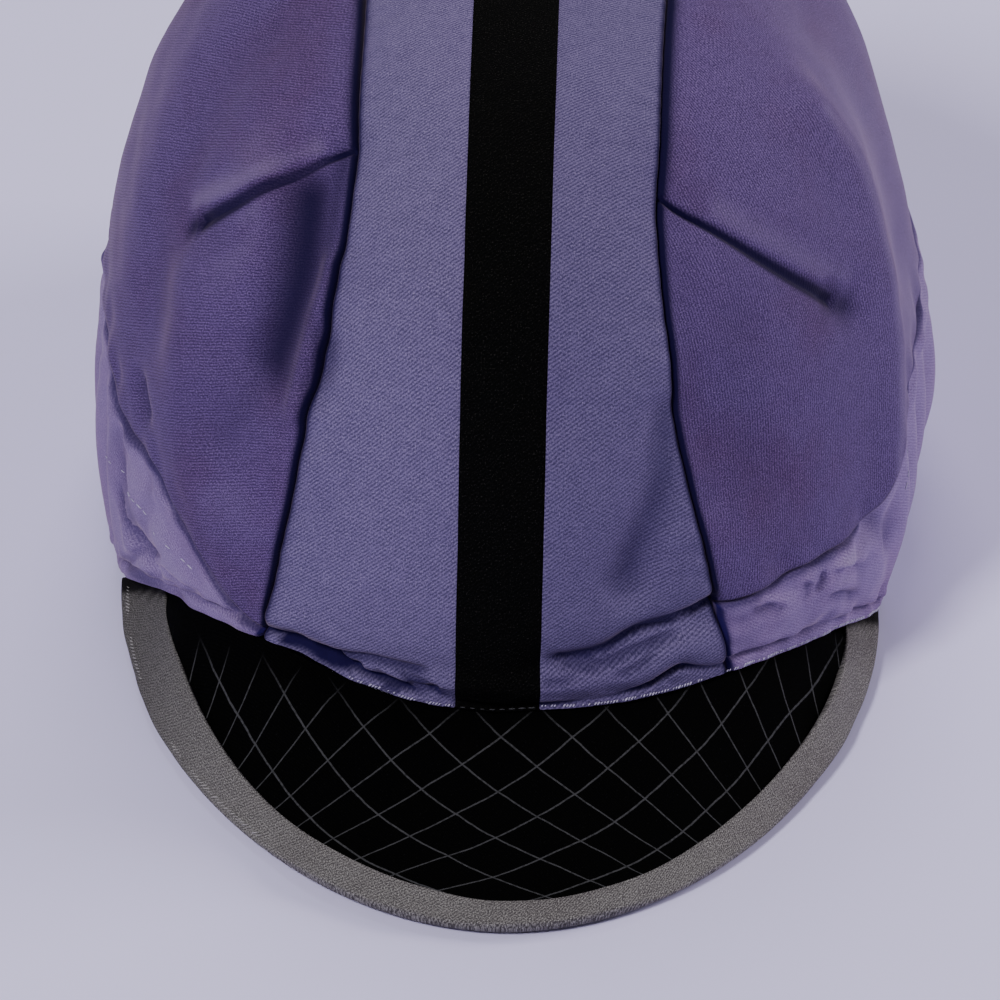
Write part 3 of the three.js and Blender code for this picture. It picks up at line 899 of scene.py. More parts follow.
@dataclass
class Shader(Tree):
    """A material that is being built, on the cloth's own coordinates in metres."""

    material: bpy.types.Material = None

    @classmethod
    def start(cls, name: str) -> "Shader":
        """A new material with an empty tree."""
        material = bpy.data.materials.new(name)
        material.use_nodes = True
        material.node_tree.nodes.clear()
        return cls(material.node_tree, material)

    def map_place(self, name: str) -> tuple[Value, Value, Value]:
        """The coordinates of one of the piece's UV maps, as a vector and as its two numbers."""
        place = self.node("ShaderNodeUVMap", {"uv_map": name}).value(0)
        parts = self.node("ShaderNodeSeparateXYZ", None, {0: place})
        return place, parts.value(0), parts.value(1)

    def object_place(self) -> Value:
        """The place in the frame, in metres."""
        return self.node("ShaderNodeTexCoord").value("Object")

    def dark(self) -> Value:
        """The shade painted on the cloth, 0 to 1, or the light painted on it, 0 to -1."""
        return self.node("ShaderNodeAttribute", {"attribute_name": "dark"}).value("Fac")

    def noise(self, place: Value, scale: float, detail: float = 2.0, roughness: float = 0.5) -> Value:
        """Uneven grey between 0 and 1.

        Args:
            place: the coordinates that it follows.
            scale: how many patches to a metre.
            detail: how many finer layers it has.
            roughness: how strong those are.

        Returns:
            The noise's value.
        """
        sockets = {"Vector": place, "Scale": scale, "Detail": detail, "Roughness": roughness}
        return self.node("ShaderNodeTexNoise", None, sockets).value("Fac")

    def blend(self, share: Value, start: Value | Colour, end: Value | Colour, kind: str = "MIX") -> Value:
        """Mixes two colours by a share of the second."""
        settings = {"data_type": "RGBA", "blend_type": kind, "clamp_factor": True}
        sockets = {"Factor_Float": share, "A_Color": full_colour(start), "B_Color": full_colour(end)}
        return self.node("ShaderNodeMix", settings, sockets).value("Result_Color")

    def bump(self, height: Value, distance: float, strength: float) -> Value:
        """The surface's direction with a height of so many metres worked into it."""
        sockets = {"Height": height, "Distance": distance, "Strength": strength}
        return self.node("ShaderNodeBump", None, sockets).value(0)

    def finish(self, sockets: dict) -> bpy.types.Material:
        """Ends the tree in one Principled surface with those sockets."""
        surface = self.node("ShaderNodeBsdfPrincipled", None, sockets).value(0)
        self.node("ShaderNodeOutputMaterial", None, {"Surface": surface})
        return self.material


@dataclass(frozen=True)
class Twill:
    """Fine twill cloth: slanting, broken ribs of yarn with a speckled, slightly drifting colour.

    Args:
        name: the material's name.
        colour: the cloth's mean colour.
        shade: the colour between its ribs.
        light: the colour of light fibres.
        deep: its colour where shade is painted.
        warm: the colour towards which it drifts in soft patches.
        slant: degrees by which the ribs rise to the right of the cloth's first axis.
        pitch: from rib to rib, in metres.
        relief: depth of the ribs, in metres.
        ribbed: how strongly the ribs' colour shows, 0 to 1.
        speckle: how strongly single fibres show in it.
        fibre: how many light fibres show, 0 to 1.
        drift: how strongly the colour drifts, 0 to 1.
        sheen: strength of the cloth's soft edge light.
        roughness: of its surface.
        gloss: how strongly it mirrors.
        edge: the colour of its soft edge light.
        pale: its colour where light is painted.
    """

    name: str
    colour: Colour
    shade: Colour
    light: Colour
    deep: Colour
    warm: Colour
    slant: float
    pitch: float = 0.00058
    relief: float = 0.00006
    ribbed: float = 0.7
    speckle: float = 2.4
    fibre: float = 0.45
    drift: float = 0.5
    sheen: float = 0.3
    roughness: float = 0.85
    gloss: float = 0.15
    edge: Colour = linear(236, 208, 220)
    pale: Colour = linear(150, 136, 168)

    def ribs(self, made: Shader, place: Value, u: Value, v: Value) -> Value:
        """Height of the ribs, 0 to 1, broken up by the yarn's own twist."""
        slant = self.slant * DEGREE
        wander = made.noise(place, 260, 2) * (0.7 * self.pitch)
        wander = wander + made.noise(place, 1500, 1) * (0.4 * self.pitch)
        over = v * math.cos(slant) - u * math.sin(slant) + wander
        along = u * math.cos(slant) + v * math.sin(slant)
        twist = (along + over * 0.7 + made.noise(place, 900, 1) * 0.0006).wave(self.pitch * 1.7)
        return over.wave(self.pitch) * 0.78 + twist * 0.22

    def build(self) -> bpy.types.Material:
        """Makes the material."""
        made = Shader.start(self.name)
        place, u, v = made.map_place("cloth")
        rib = self.ribs(made, place, u, v)
        speck = made.noise(place, 3300, 2, 0.75)
        patch = made.noise(made.object_place(), 34, 4, 0.6)
        cloud = made.noise(made.object_place(), 420, 3, 0.65)
        height = rib * 0.55 + speck * 0.45
        middle = (1 - self.ribbed) * 0.5
        ground = rib * self.ribbed + middle + (speck - 0.5) * self.speckle + (cloud - 0.5) * 0.45
        colour = made.blend(ground.above(0.0, 1.0), self.shade, self.colour)
        colour = made.blend(patch.above(0.42, 0.75) * self.drift, colour, self.warm, "MULTIPLY")
        colour = made.blend(speck.above(0.57, 0.76) * self.fibre, colour, self.light)
        # painted light, then painted shade, from the points' "dark" attribute
        colour = made.blend(made.dark() * -1.0, colour, self.pale)
        colour = made.blend(made.dark(), colour, self.deep)
        return made.finish(
            {
                "Base Color": colour,
                "Roughness": self.roughness,
                "Normal": made.bump(height, self.relief, 0.9),
                "Sheen Weight": self.sheen,
                "Sheen Roughness": 0.3,
                "Sheen Tint": full_colour(self.edge),
                "Specular IOR Level": self.gloss,
            }
        )


@dataclass(frozen=True)
class LatticeCloth:
    """Black cloth with thin grey diamond lines. Its "fan" map counts the lines of each of the two sets.

    Args:
        name: the material's name.
        ground: colour of the cloth.
        fuzz: colour of its weave's raised yarn.
        fibre: colour of light fibres.
        thread: colour of the lines.
        width: half width of a line, as a share of a cell.
        weave: length of the weave's waves, in metres.
    """

    name: str = "black_lattice_cloth"
    ground: Colour = linear(1, 1, 1)
    fuzz: Colour = linear(7, 7, 8)
    fibre: Colour = linear(40, 40, 42)
    thread: Colour = linear(66, 66, 69)
    width: float = 0.011
    weave: float = 0.0006

    def build(self) -> bpy.types.Material:
        """Makes the material."""
        made = Shader.start(self.name)
        place, u, v = made.map_place("cloth")
        _, falling, rising = made.map_place("fan")
        wobble = (made.noise(place, 420, 2) - 0.5) * 0.03
        falling = (falling + wobble).fold(1.0)
        rising = (rising + wobble).fold(1.0)
        ends = self.width, self.width * 2.2
        lines = (1 - rising.above(*ends)).most(1 - falling.above(*ends))
        speck = made.noise(place, 2600, 2, 0.75)
        worn = made.noise(place, 1300, 3, 0.6).above(0.3, 0.6)
        weave = (u + v).wave(self.weave) * 0.4 + (u - v).wave(self.weave) * 0.2 + speck * 0.4
        colour = made.blend(weave * 0.8, self.ground, self.fuzz)
        colour = made.blend(speck.above(0.6, 0.78) * 0.3, colour, self.fibre)
        # the lines fade under the painted shadow at the peak's root
        colour = made.blend(lines * (0.5 + 0.5 * worn) * (1 - made.dark()), colour, self.thread)
        return made.finish(
            {
                "Base Color": colour,
                "Roughness": 0.9,
                "Normal": made.bump(weave + lines * 0.8, 0.00006, 0.8),
                "Specular IOR Level": 0.02,
            }
        )


@dataclass(frozen=True)
class Thread:
    """Sewing thread: a plain colour with a fine twist."""

    name: str
    colour: Colour
    shade: Colour

    def build(self) -> bpy.types.Material:
        """Makes the material."""
        made = Shader.start(self.name)
        fibre = made.noise(made.object_place(), 6000, 2, 0.6)
        colour = made.blend(fibre.above(0.35, 0.65), self.shade, self.colour)
        return made.finish({"Base Color": colour, "Roughness": 0.7, "Normal": made.bump(fibre, 0.00004, 0.7)})


CENTRE_CLOTH = Twill(
    "centre_twill",
    colour=linear(119, 107, 147),
    shade=linear(66, 58, 93),
    light=linear(184, 172, 204),
    deep=linear(16, 6, 56),
    warm=linear(236, 228, 240),
    slant=33,
)
SIDE_CLOTH = Twill(
    "side_twill",
    colour=linear(100, 80, 129),
    shade=linear(52, 37, 78),
    light=linear(166, 147, 188),
    deep=linear(8, 0, 44),
    warm=linear(236, 206, 212),
    slant=0,
    speckle=3.8,
    fibre=0.55,
    drift=0.6,
)
BAND_CLOTH = Twill(
    "band_twill",
    colour=linear(142, 122, 166),
    shade=linear(104, 86, 130),
    light=linear(204, 190, 220),
    deep=linear(24, 10, 70),
    warm=linear(250, 222, 232),
    slant=-35,
    relief=0.00004,
    ribbed=0.5,
    speckle=3.0,
    fibre=0.4,
)
STRIPE_CLOTH = Twill(
    "black_twill",
    colour=linear(6, 6, 7),
    shade=linear(1, 1, 1),
    light=linear(96, 92, 88),
    deep=linear(0, 0, 0),
    warm=linear(240, 240, 240),
    slant=33,
    fibre=0.26,
    sheen=0.0,
    gloss=0.04,
)
BINDING_CLOTH = Twill(
    "grey_heather_twill",
    colour=linear(130, 127, 126),
    shade=linear(66, 62, 65),
    light=linear(206, 204, 202),
    deep=linear(10, 8, 10),
    warm=linear(224, 216, 220),
    slant=42,
    pitch=0.00055,
    relief=0.00008,
    ribbed=0.55,
    speckle=5.0,
    fibre=0.7,
    sheen=0.05,
)


# Stitches


@dataclass
class StitchTree(Tree):
    """The Geometry Nodes tree that sews stitches along an open line of points."""

    inputs: dict = field(default_factory=dict)

    @classmethod
    def start(cls) -> "StitchTree":
        """Builds the tree once, with named inputs for its sizes."""
        group = bpy.data.node_groups.new("stitches_along_a_line", "GeometryNodeTree")
        made = cls(group)
        made._sockets()
        made._nodes()
        return made

    def _sockets(self) -> None:
        """The tree's own inputs and output."""
        face = self.tree.interface
        face.new_socket("Line", in_out="INPUT", socket_type="NodeSocketGeometry")
        lengths = {"Pitch": 0.001, "Stitch Length": 0.001, "Thread Radius": 0.0001}
        for name, number in {**lengths, "Slant": 0.0, "Unevenness": 0.2}.items():
            socket = face.new_socket(name, in_out="INPUT", socket_type="NodeSocketFloat")
            socket.default_value = number
            self.inputs[name] = socket.identifier
        for name, kind in {"Kept": "Float", "Seed": "Int", "Thread": "Material"}.items():
            socket = face.new_socket(name, in_out="INPUT", socket_type="NodeSocket" + kind)
            self.inputs[name] = socket.identifier
        face.new_socket("Stitches", in_out="OUTPUT", socket_type="NodeSocketGeometry")

    def _nodes(self) -> None:
        """The nodes: points on the line, a stitch on each, turned to the line and the surface."""
        given = self.node("NodeGroupInput")
        curve = self.node("GeometryNodeMeshToCurve", None, {0: given.value("Line")}).value(0)
        sockets = {"Curve": curve, "Length": given.value("Pitch")}
        points = self.node("GeometryNodeResampleCurve", {"mode": "LENGTH"}, sockets).value(0)
        tangent = self.node("GeometryNodeInputTangent").value(0)
        kind = {"data_type": "FLOAT_VECTOR"}
        up = self.node("GeometryNodeInputNamedAttribute", kind, {"Name": "up"}).value(0)
        across = self.vector("CROSS_PRODUCT", up, tangent)
        turned = self.vector(
            "ADD",
            self.scaled(tangent, given.value("Slant").maths("COSINE")),
            self.scaled(across, given.value("Slant").maths("SINE")),
        )
        settings = {"primary_axis": "X", "secondary_axis": "Z"}
        turn = self.node("FunctionNodeAxesToRotation", settings, {0: turned, 1: up}).value(0)
        half = given.value("Stitch Length") * 0.5
        sockets = {0: half, 1: given.value("Thread Radius"), 2: given.value("Thread Radius")}
        size = self.node("ShaderNodeCombineXYZ", None, sockets).value(0)
        uneven = given.value("Unevenness")
        uneven = self.random(1 - uneven, 1 + uneven, given.value("Seed"))
        kept = self.random(0.0, 1.0, given.value("Seed") + 7).maths("LESS_THAN", given.value("Kept"))
        sockets = {"Segments": 8, "Rings": 6, "Radius": 1.0}
        ball = self.node("GeometryNodeMeshUVSphere", None, sockets).value(0)
        sockets = {"Points": points, "Selection": kept, "Instance": ball, "Rotation": turn}
        sockets["Scale"] = self.scaled(size, uneven)
        rows = self.node("GeometryNodeInstanceOnPoints", None, sockets).value(0)
        real = self.node("GeometryNodeRealizeInstances", None, {0: rows}).value(0)
        smooth = self.node("GeometryNodeSetShadeSmooth", None, {0: real}).value(0)
        sockets = {"Geometry": smooth, "Material": given.value("Thread")}
        sewn = self.node("GeometryNodeSetMaterial", None, sockets).value(0)
        self.node("NodeGroupOutput", None, {0: sewn})

    def vector(self, operation: str, first: Value, second: Value) -> Value:
        """A Vector Math node."""
        return self.node("ShaderNodeVectorMath", {"operation": operation}, {0: first, 1: second}).value(0)

    def scaled(self, first: Value, share: Value) -> Value:
        """A vector times a number."""
        return self.node("ShaderNodeVectorMath", {"operation": "SCALE"}, {0: first, "Scale": share}).value(0)

    def random(self, low: Value | float, high: Value | float, seed: Value) -> Value:
        """A random number for each stitch."""
        sockets = {"Min_001": low, "Max_001": high, "Seed": seed}
        return self.node("FunctionNodeRandomValue", {"data_type": "FLOAT"}, sockets).value("Value_001")


@dataclass(frozen=True)
class StitchRow:
    """A row of stitches.

    Args:
        name: the piece's name.
        path: its points, in millimetres round the crown's centre.
        up: the way out of the surface at each point.
        thread: the stitches' material.
        pitch: from stitch to stitch, in millimetres.
        length: of a stitch.
        radius: of the thread.
        slant: degrees by which each stitch is turned from the row.
        kept: share of the stitches that show.
        uneven: how much their sizes differ, as a share.
        seed: picks their unevenness.
    """

    name: str
    path: Array
    up: Array
    thread: bpy.types.Material
    pitch: float
    length: float
    radius: float
    slant: float = 0.0
    kept: float = 1.0
    uneven: float = 0.35
    seed: int = 1

    def sew(self, tree: StitchTree) -> bpy.types.Object:
        """Makes the row as one plain mesh."""
        mesh = bpy.data.meshes.new(self.name)
        mesh.from_pydata(in_frame(self.path), [(index, index + 1) for index in range(len(self.path) - 1)], [])
        mesh.attributes.new("up", "FLOAT_VECTOR", "POINT").data.foreach_set("vector", self.up.ravel())
        guide = link(self.name + "_line", mesh)
        sewing = guide.modifiers.new("stitches", "NODES")
        sewing.node_group = tree.tree
        values = {
            "Pitch": self.pitch * MM,
            "Stitch Length": self.length * MM,
            "Thread Radius": self.radius * MM,
            "Slant": self.slant * DEGREE,
            "Unevenness": self.uneven,
            "Kept": self.kept,
            "Seed": self.seed,
            "Thread": self.thread,
        }
        for name, value in values.items():
            sewing[tree.inputs[name]] = value
        graph = bpy.context.evaluated_depsgraph_get()
        plain = bpy.data.meshes.new_from_object(guide.evaluated_get(graph), depsgraph=graph)
        bpy.data.objects.remove(guide)
        return link(self.name, plain)


# Sub-assemblies of the cap


def dress(piece: bpy.types.Object, finish: bpy.types.Material, slot: str, *nodes: str) -> None:
    """Gives a piece its finish and its place in the frame.

    Args:
        piece: the finished mesh.
        finish: its material.
        slot: the name of a material slot; it is not used.
        nodes: the frame's nodes that it stands for.
    """
    if not piece.data.materials:
        piece.data.materials.append(finish)
    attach(piece, "root")
    if nodes:
        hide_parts(*nodes)
    piece.data.calc_loop_triangles()
    log.info("%s: %d triangles", piece.name, len(piece.data.loop_triangles))


def develop(point: Array, centre: Array, right: Array, up: Array) -> Array:
    """Lays curved cloth out flat round a centre, with true distances from it.

    Args:
        point: places in millimetres.
        centre: the place that stays.
        right: the cloth's first axis there.
        up: its second.

    Returns:
        The cloth's two coordinates of each place.
    """
    off = point - centre
    flat = np.column_stack([off @ right, off @ up])
    size = np.maximum(np.linalg.norm(flat, axis=1), 1e-6)
    return flat * (np.linalg.norm(off, axis=1) / size)[:, None]


@dataclass(frozen=True)
class CentreStrips:
    """The crown's middle: two pale strips and the dark stripe between them, from rim to rim.

    The strips are numbered 0 to 2 and their long edges 0 to 3, from left to right.
    """

    crown: Crown
    cloth: float = 1.4
    widths: tuple[float, float, float] = (42.0, 16.4, 42.0)  # about, for the fineness of the cells
    length: float = 330.0
    columns: tuple[int, int, int] = (29, 12, 29)
    rows: int = 236
    front_arcs: tuple[float, float] = (1, 60)  # between which the strips start on the rim
    back_arcs: tuple[float, float] = (110, 179)  # and end on the band
    hem_end: float = 70.0  # degrees from the front
    hem_height: float = 1.9
    hem_groove: float = 1.7
    groove_above: float = 0.9  # distance over which the cloth falls into the groove from above
    groove_below: float = 0.55
    lift_angle: float = 24.5  # where the groove rises near the right seam
    lift_width: float = 3.2
    lift_height: float = 2.6
    roll_height: float = 1.1
    roll_place: float = 4.4
    roll_width: float = 3.0
    right_shade: float = 0.17  # shade painted over the whole right strip, as if turned from the light
    fine_waves: float = 0.07
    samples: int = 33

    def edge(self, index: int, arc: Array) -> Array:
        """Distance from the middle of one of the four long edges."""
        if index in (0, 3):
            return self.crown.seam_distance(Side.LEFT if index == 0 else Side.RIGHT, arc)
        return np.full(np.shape(arc), self.crown.stripe_half * (1 if index == 2 else -1))

    def distance(self, index: int, across: Array, arc: Array) -> Array:
        """Distance from the middle at a share of the way over a strip."""
        return mix(self.edge(index, arc), self.edge(index + 1, arc), across)

    def arcs(self, index: int, across: Array) -> tuple[Array, Array]:
        """Arcs at which each line of a strip starts on the front rim and ends on the band."""
        at = np.linspace(0, 1, self.samples)

        def place(arc: Array) -> Array:
            return self.crown.dome.at_arc(self.distance(index, at, arc), arc)

        start = self.crown.crossing(place, self.crown.rim_height, self.front_arcs, len(at))
        end = self.crown.crossing(place, self.crown.band_height, self.back_arcs, len(at))
        return np.interp(across, at, start), np.interp(across, at, end)

    def hem(self, lay: Lay) -> tuple[Array, Array]:
        """The turned hem at the front rim: how far the cloth stands out, and the shade painted on it.

        A flat edge lies under a groove, with a soft roll over it. The groove rises in a small peak near the
        right seam.
        """
        front = np.abs(lay.angle) < self.hem_end
        over = lay.height - self.crown.rim_height(lay.angle)
        level, stretched = lay.point * np.array([1, 1, 0]), lay.point * np.array([1, 1, 1.6])
        uneven = np.clip(0.8 + 0.3 * cloth_noise(level, 17, 5), 0.15, 1.3)
        peak = self.lift_height * bell(lay.angle - self.lift_angle, self.lift_width)
        away = over - self.hem_height - (0.35 * cloth_noise(level, 26, 6) + peak)
        width = np.where(away > 0, self.groove_above, self.groove_below)
        groove = np.exp(-np.abs(away / width) ** 1.6) * uneven
        roll = self.roll_height * bell(away - self.roll_place, self.roll_width)
        # painted shade in crumpled patches above the hem, strongest on the left, where the cloth also sinks a
        # little
        patches = ease((cloth_noise(stretched, 7, 8) + 0.1) / 0.6)
        left = ease((-4 - lay.angle) / 5) * ease((lay.angle + 31) / 3)
        crumple_shade = patches * bell(over - 3.0, 3.2) * mix(0.35, 1.0, left)
        shade = lay_shades(np.clip(1.3 * groove, 0, 1), crumple_shade)
        return np.where(front, roll - self.hem_groove * groove - 0.5 * crumple_shade, 0), np.where(front, shade, 0)

    def surface(self, angle: Array, height: Array) -> tuple[Array, Array]:
        """Places of the outer face, away from the seams, and the ways out of it."""
        lay = self.crown.lay_at(angle, height)
        rise = self.crown.fold_form(lay)[0] + self.hem(lay)[0] + slight_waves(lay.point, self.fine_waves)
        return lay.raised(rise), lay.normal

    def shape(self, index: int, across: Array, along: Array) -> Cloth:
        """Both faces of one strip at the given shares."""
        arc = mix(*self.arcs(index, across), along)
        here = self.distance(index, across, arc)
        lay = self.crown.lay(self.crown.dome.at_arc(here, arc))
        rise, dark = self.crown.fold_form(lay)
        hem, hem_shade = self.hem(lay)
        rise += hem + self.edges(index, here, arc, lay)
        rise += slight_waves(lay.point, self.fine_waves)
        # painted shade over the whole right strip
        turned = np.full(len(arc), self.right_shade if index == 2 else 0.0)
        dark = lay_shades(dark, hem_shade, self.seam_shade(index, here, arc), turned)
        girth = (self.crown.dome.half_depth + self.crown.dome.height) / 2 * DEGREE
        return lay.wall(rise, self.cloth, np.column_stack([here, arc * girth]), dark)

    def seam_shade(self, index: int, here: Array, arc: Array) -> Array:
        """The shade painted on the strip beside the crown's two long seams."""
        seams = [place for place in (0, 3) if place in (index, index + 1)]
        shades = [groove_shade(np.abs(here - self.edge(place, arc))) for place in seams]
        return np.maximum.reduce([*shades, np.zeros(len(arc))])

    def edges(self, index: int, here: Array, arc: Array, lay: Lay) -> Array:
        """How the strip's long edges and its back end roll into their seams."""
        to_band = np.where(arc > 90, lay.height - self.crown.band_height(lay.angle), FAR)
        roll = self.crown.seam_drop(to_band)
        for place in (index, index + 1):
            distance = np.abs(here - self.edge(place, arc))
            if place in (0, 3):
                pucker = 0.16 * np.sin(arc * 2.3 + 1.7 * np.sin(arc * 0.31)) * bell(distance - 3, 3)
                roll = np.minimum(roll, self.crown.seam_drop(distance)) + pucker
            else:
                roll = roll + quarter_round(distance, 0.5, 0.22)
        return roll

    def fineness(self, index: int, across: Array, along: Array) -> Array:
        """Finer cells near the seams and the front hem."""
        left, right = across * self.widths[index], (1 - across) * self.widths[index]
        up = along * self.length
        near = np.minimum(up, FAR)
        if index == 1:
            near = np.minimum(near, np.minimum(left, right) + 1.5)
        else:
            near = np.minimum(near, left if index == 0 else right)
        return finer(near, 2.6, 6) + np.where(up < 14, 1, 0)

    def build(self) -> None:
        """Makes the three strips."""
        pale, black = CENTRE_CLOTH.build(), STRIPE_CLOTH.build()
        strips = (
            ("centre_panel_left", pale, "centre_cloth"),
            ("centre_stripe", black, "stripe_cloth"),
            ("centre_panel_right", pale, "centre_cloth"),
        )
        for index, (name, finish, slot) in enumerate(strips):
            shape, fineness = partial(self.shape, index), partial(self.fineness, index)
            piece = Weaver(shape, fineness, self.columns[index], self.rows).weave(name + "_cloth")
            dress(piece, finish, slot, name)


@dataclass(frozen=True)
class SidePanels:
    """The two darker side panels with their darts, folds and hollows."""

    crown: Crown
    cloth: float = 1.4
    columns: int = 208
    rows: int = 62
    front_arcs: tuple[float, float] = (4, 60)  # between which the long seam leaves the band
    back_arcs: tuple[float, float] = (120, 179)  # and meets it again
    grain_left: float = 30.0  # degrees by which the cloth's ribs rise to the right
    grain_right: float = 80.0
    groove_left: float = 1.7  # how far out from the long seam shade is painted
    groove_right: float = 2.0
    fine_waves: float = 0.08
    middle: tuple[float, float] = (62.0, 80.0)  # angle and height of the place round which it is laid flat

    def corners(self, side: Side, across: Array) -> tuple[Array, Array]:
        """Places on the long seam and, below them, on the band's edge."""
        crown = self.crown
        start, end = (
            float(crown.crossing(partial(crown.seam_place, side), crown.band_height, arcs, 1)[0])
            for arcs in (self.front_arcs, self.back_arcs)
        )
        top = crown.seam_place(side, mix(start, end, across))
        ends = angle_of(crown.seam_place(side, np.array([start, end])))
        angle = mix(ends[0], ends[1], across)
        return top, crown.dome.at_height(angle, crown.band_height(angle))

    def spread(self, side: Side, across: Array, along: Array) -> tuple[Lay, Array, Array]:
        """The cloth's places, and their distances from the long seam and from the band's edge."""
        corners = self.corners(side, across)
        lay = self.crown.lay(self.crown.dome.onto(mix(*corners, along[:, None])))
        seam, band = (self.crown.dome.point(edge) for edge in corners)
        return lay, np.linalg.norm(lay.point - seam, axis=1), np.linalg.norm(lay.point - band, axis=1)

    def shape(self, side: Side, across: Array, along: Array) -> Cloth:
        """Both faces of the panel at the given shares."""
        lay, to_seam, to_band = self.spread(side, across, along)
        rise, dark = self.crown.fold_form(lay)
        rise += np.minimum(self.crown.seam_drop(to_seam), self.crown.seam_drop(to_band))
        rise += slight_waves(lay.point, self.fine_waves)
        rise += 0.25 * cloth_noise(lay.point, 9, 13) * bell(to_band - 3, 4)
        reach = self.groove_left if side is Side.LEFT else self.groove_right
        # painted shade in the folds, beside the long seam and beside the band's edge
        dark = lay_shades(dark, groove_shade(to_seam, reach), 0.6 * groove_shade(to_band))
        return lay.wall(rise, self.cloth, self.flat(side, lay), dark)

    def flat(self, side: Side, lay: Lay) -> Array:
        """The panel's cloth laid out flat round its middle."""
        angle, height = self.middle
        middle = self.crown.lay_at(np.array([side.value * angle]), np.array([height]))
        normal = middle.normal[0]
        right = np.cross(normal, np.array([0, 0, 1.0]))
        right = -right / np.linalg.norm(right)
        up = np.cross(normal, right)
        turn = (self.grain_left if side is Side.LEFT else self.grain_right) * DEGREE
        first = right * math.cos(turn) + up * math.sin(turn)
        return develop(lay.point, middle.point[0], first, np.cross(normal, first))

    def fineness(self, side: Side, across: Array, along: Array) -> Array:
        """Finer cells near the seams and the dart."""
        lay, to_seam, to_band = self.spread(side, across, along)
        dart = LEFT_DART if side is Side.LEFT else RIGHT_DART
        to_dart = np.abs(dart.measure(self.crown.dome, lay, 12)[0])
        return finer(np.minimum.reduce([to_seam, to_band + 0.4, to_dart - 1.8]), 1.9, 4.2)

    def build(self) -> None:
        """Makes both panels."""
        finish = SIDE_CLOTH.build()
        for side, name in ((Side.LEFT, "side_panel_left"), (Side.RIGHT, "side_panel_right")):
            shape, fineness = partial(self.shape, side), partial(self.fineness, side)
            weaver = Weaver(shape, fineness, self.columns, self.rows, flip=side is Side.RIGHT)
            dress(weaver.weave(name + "_cloth"), finish, "side_cloth", name)


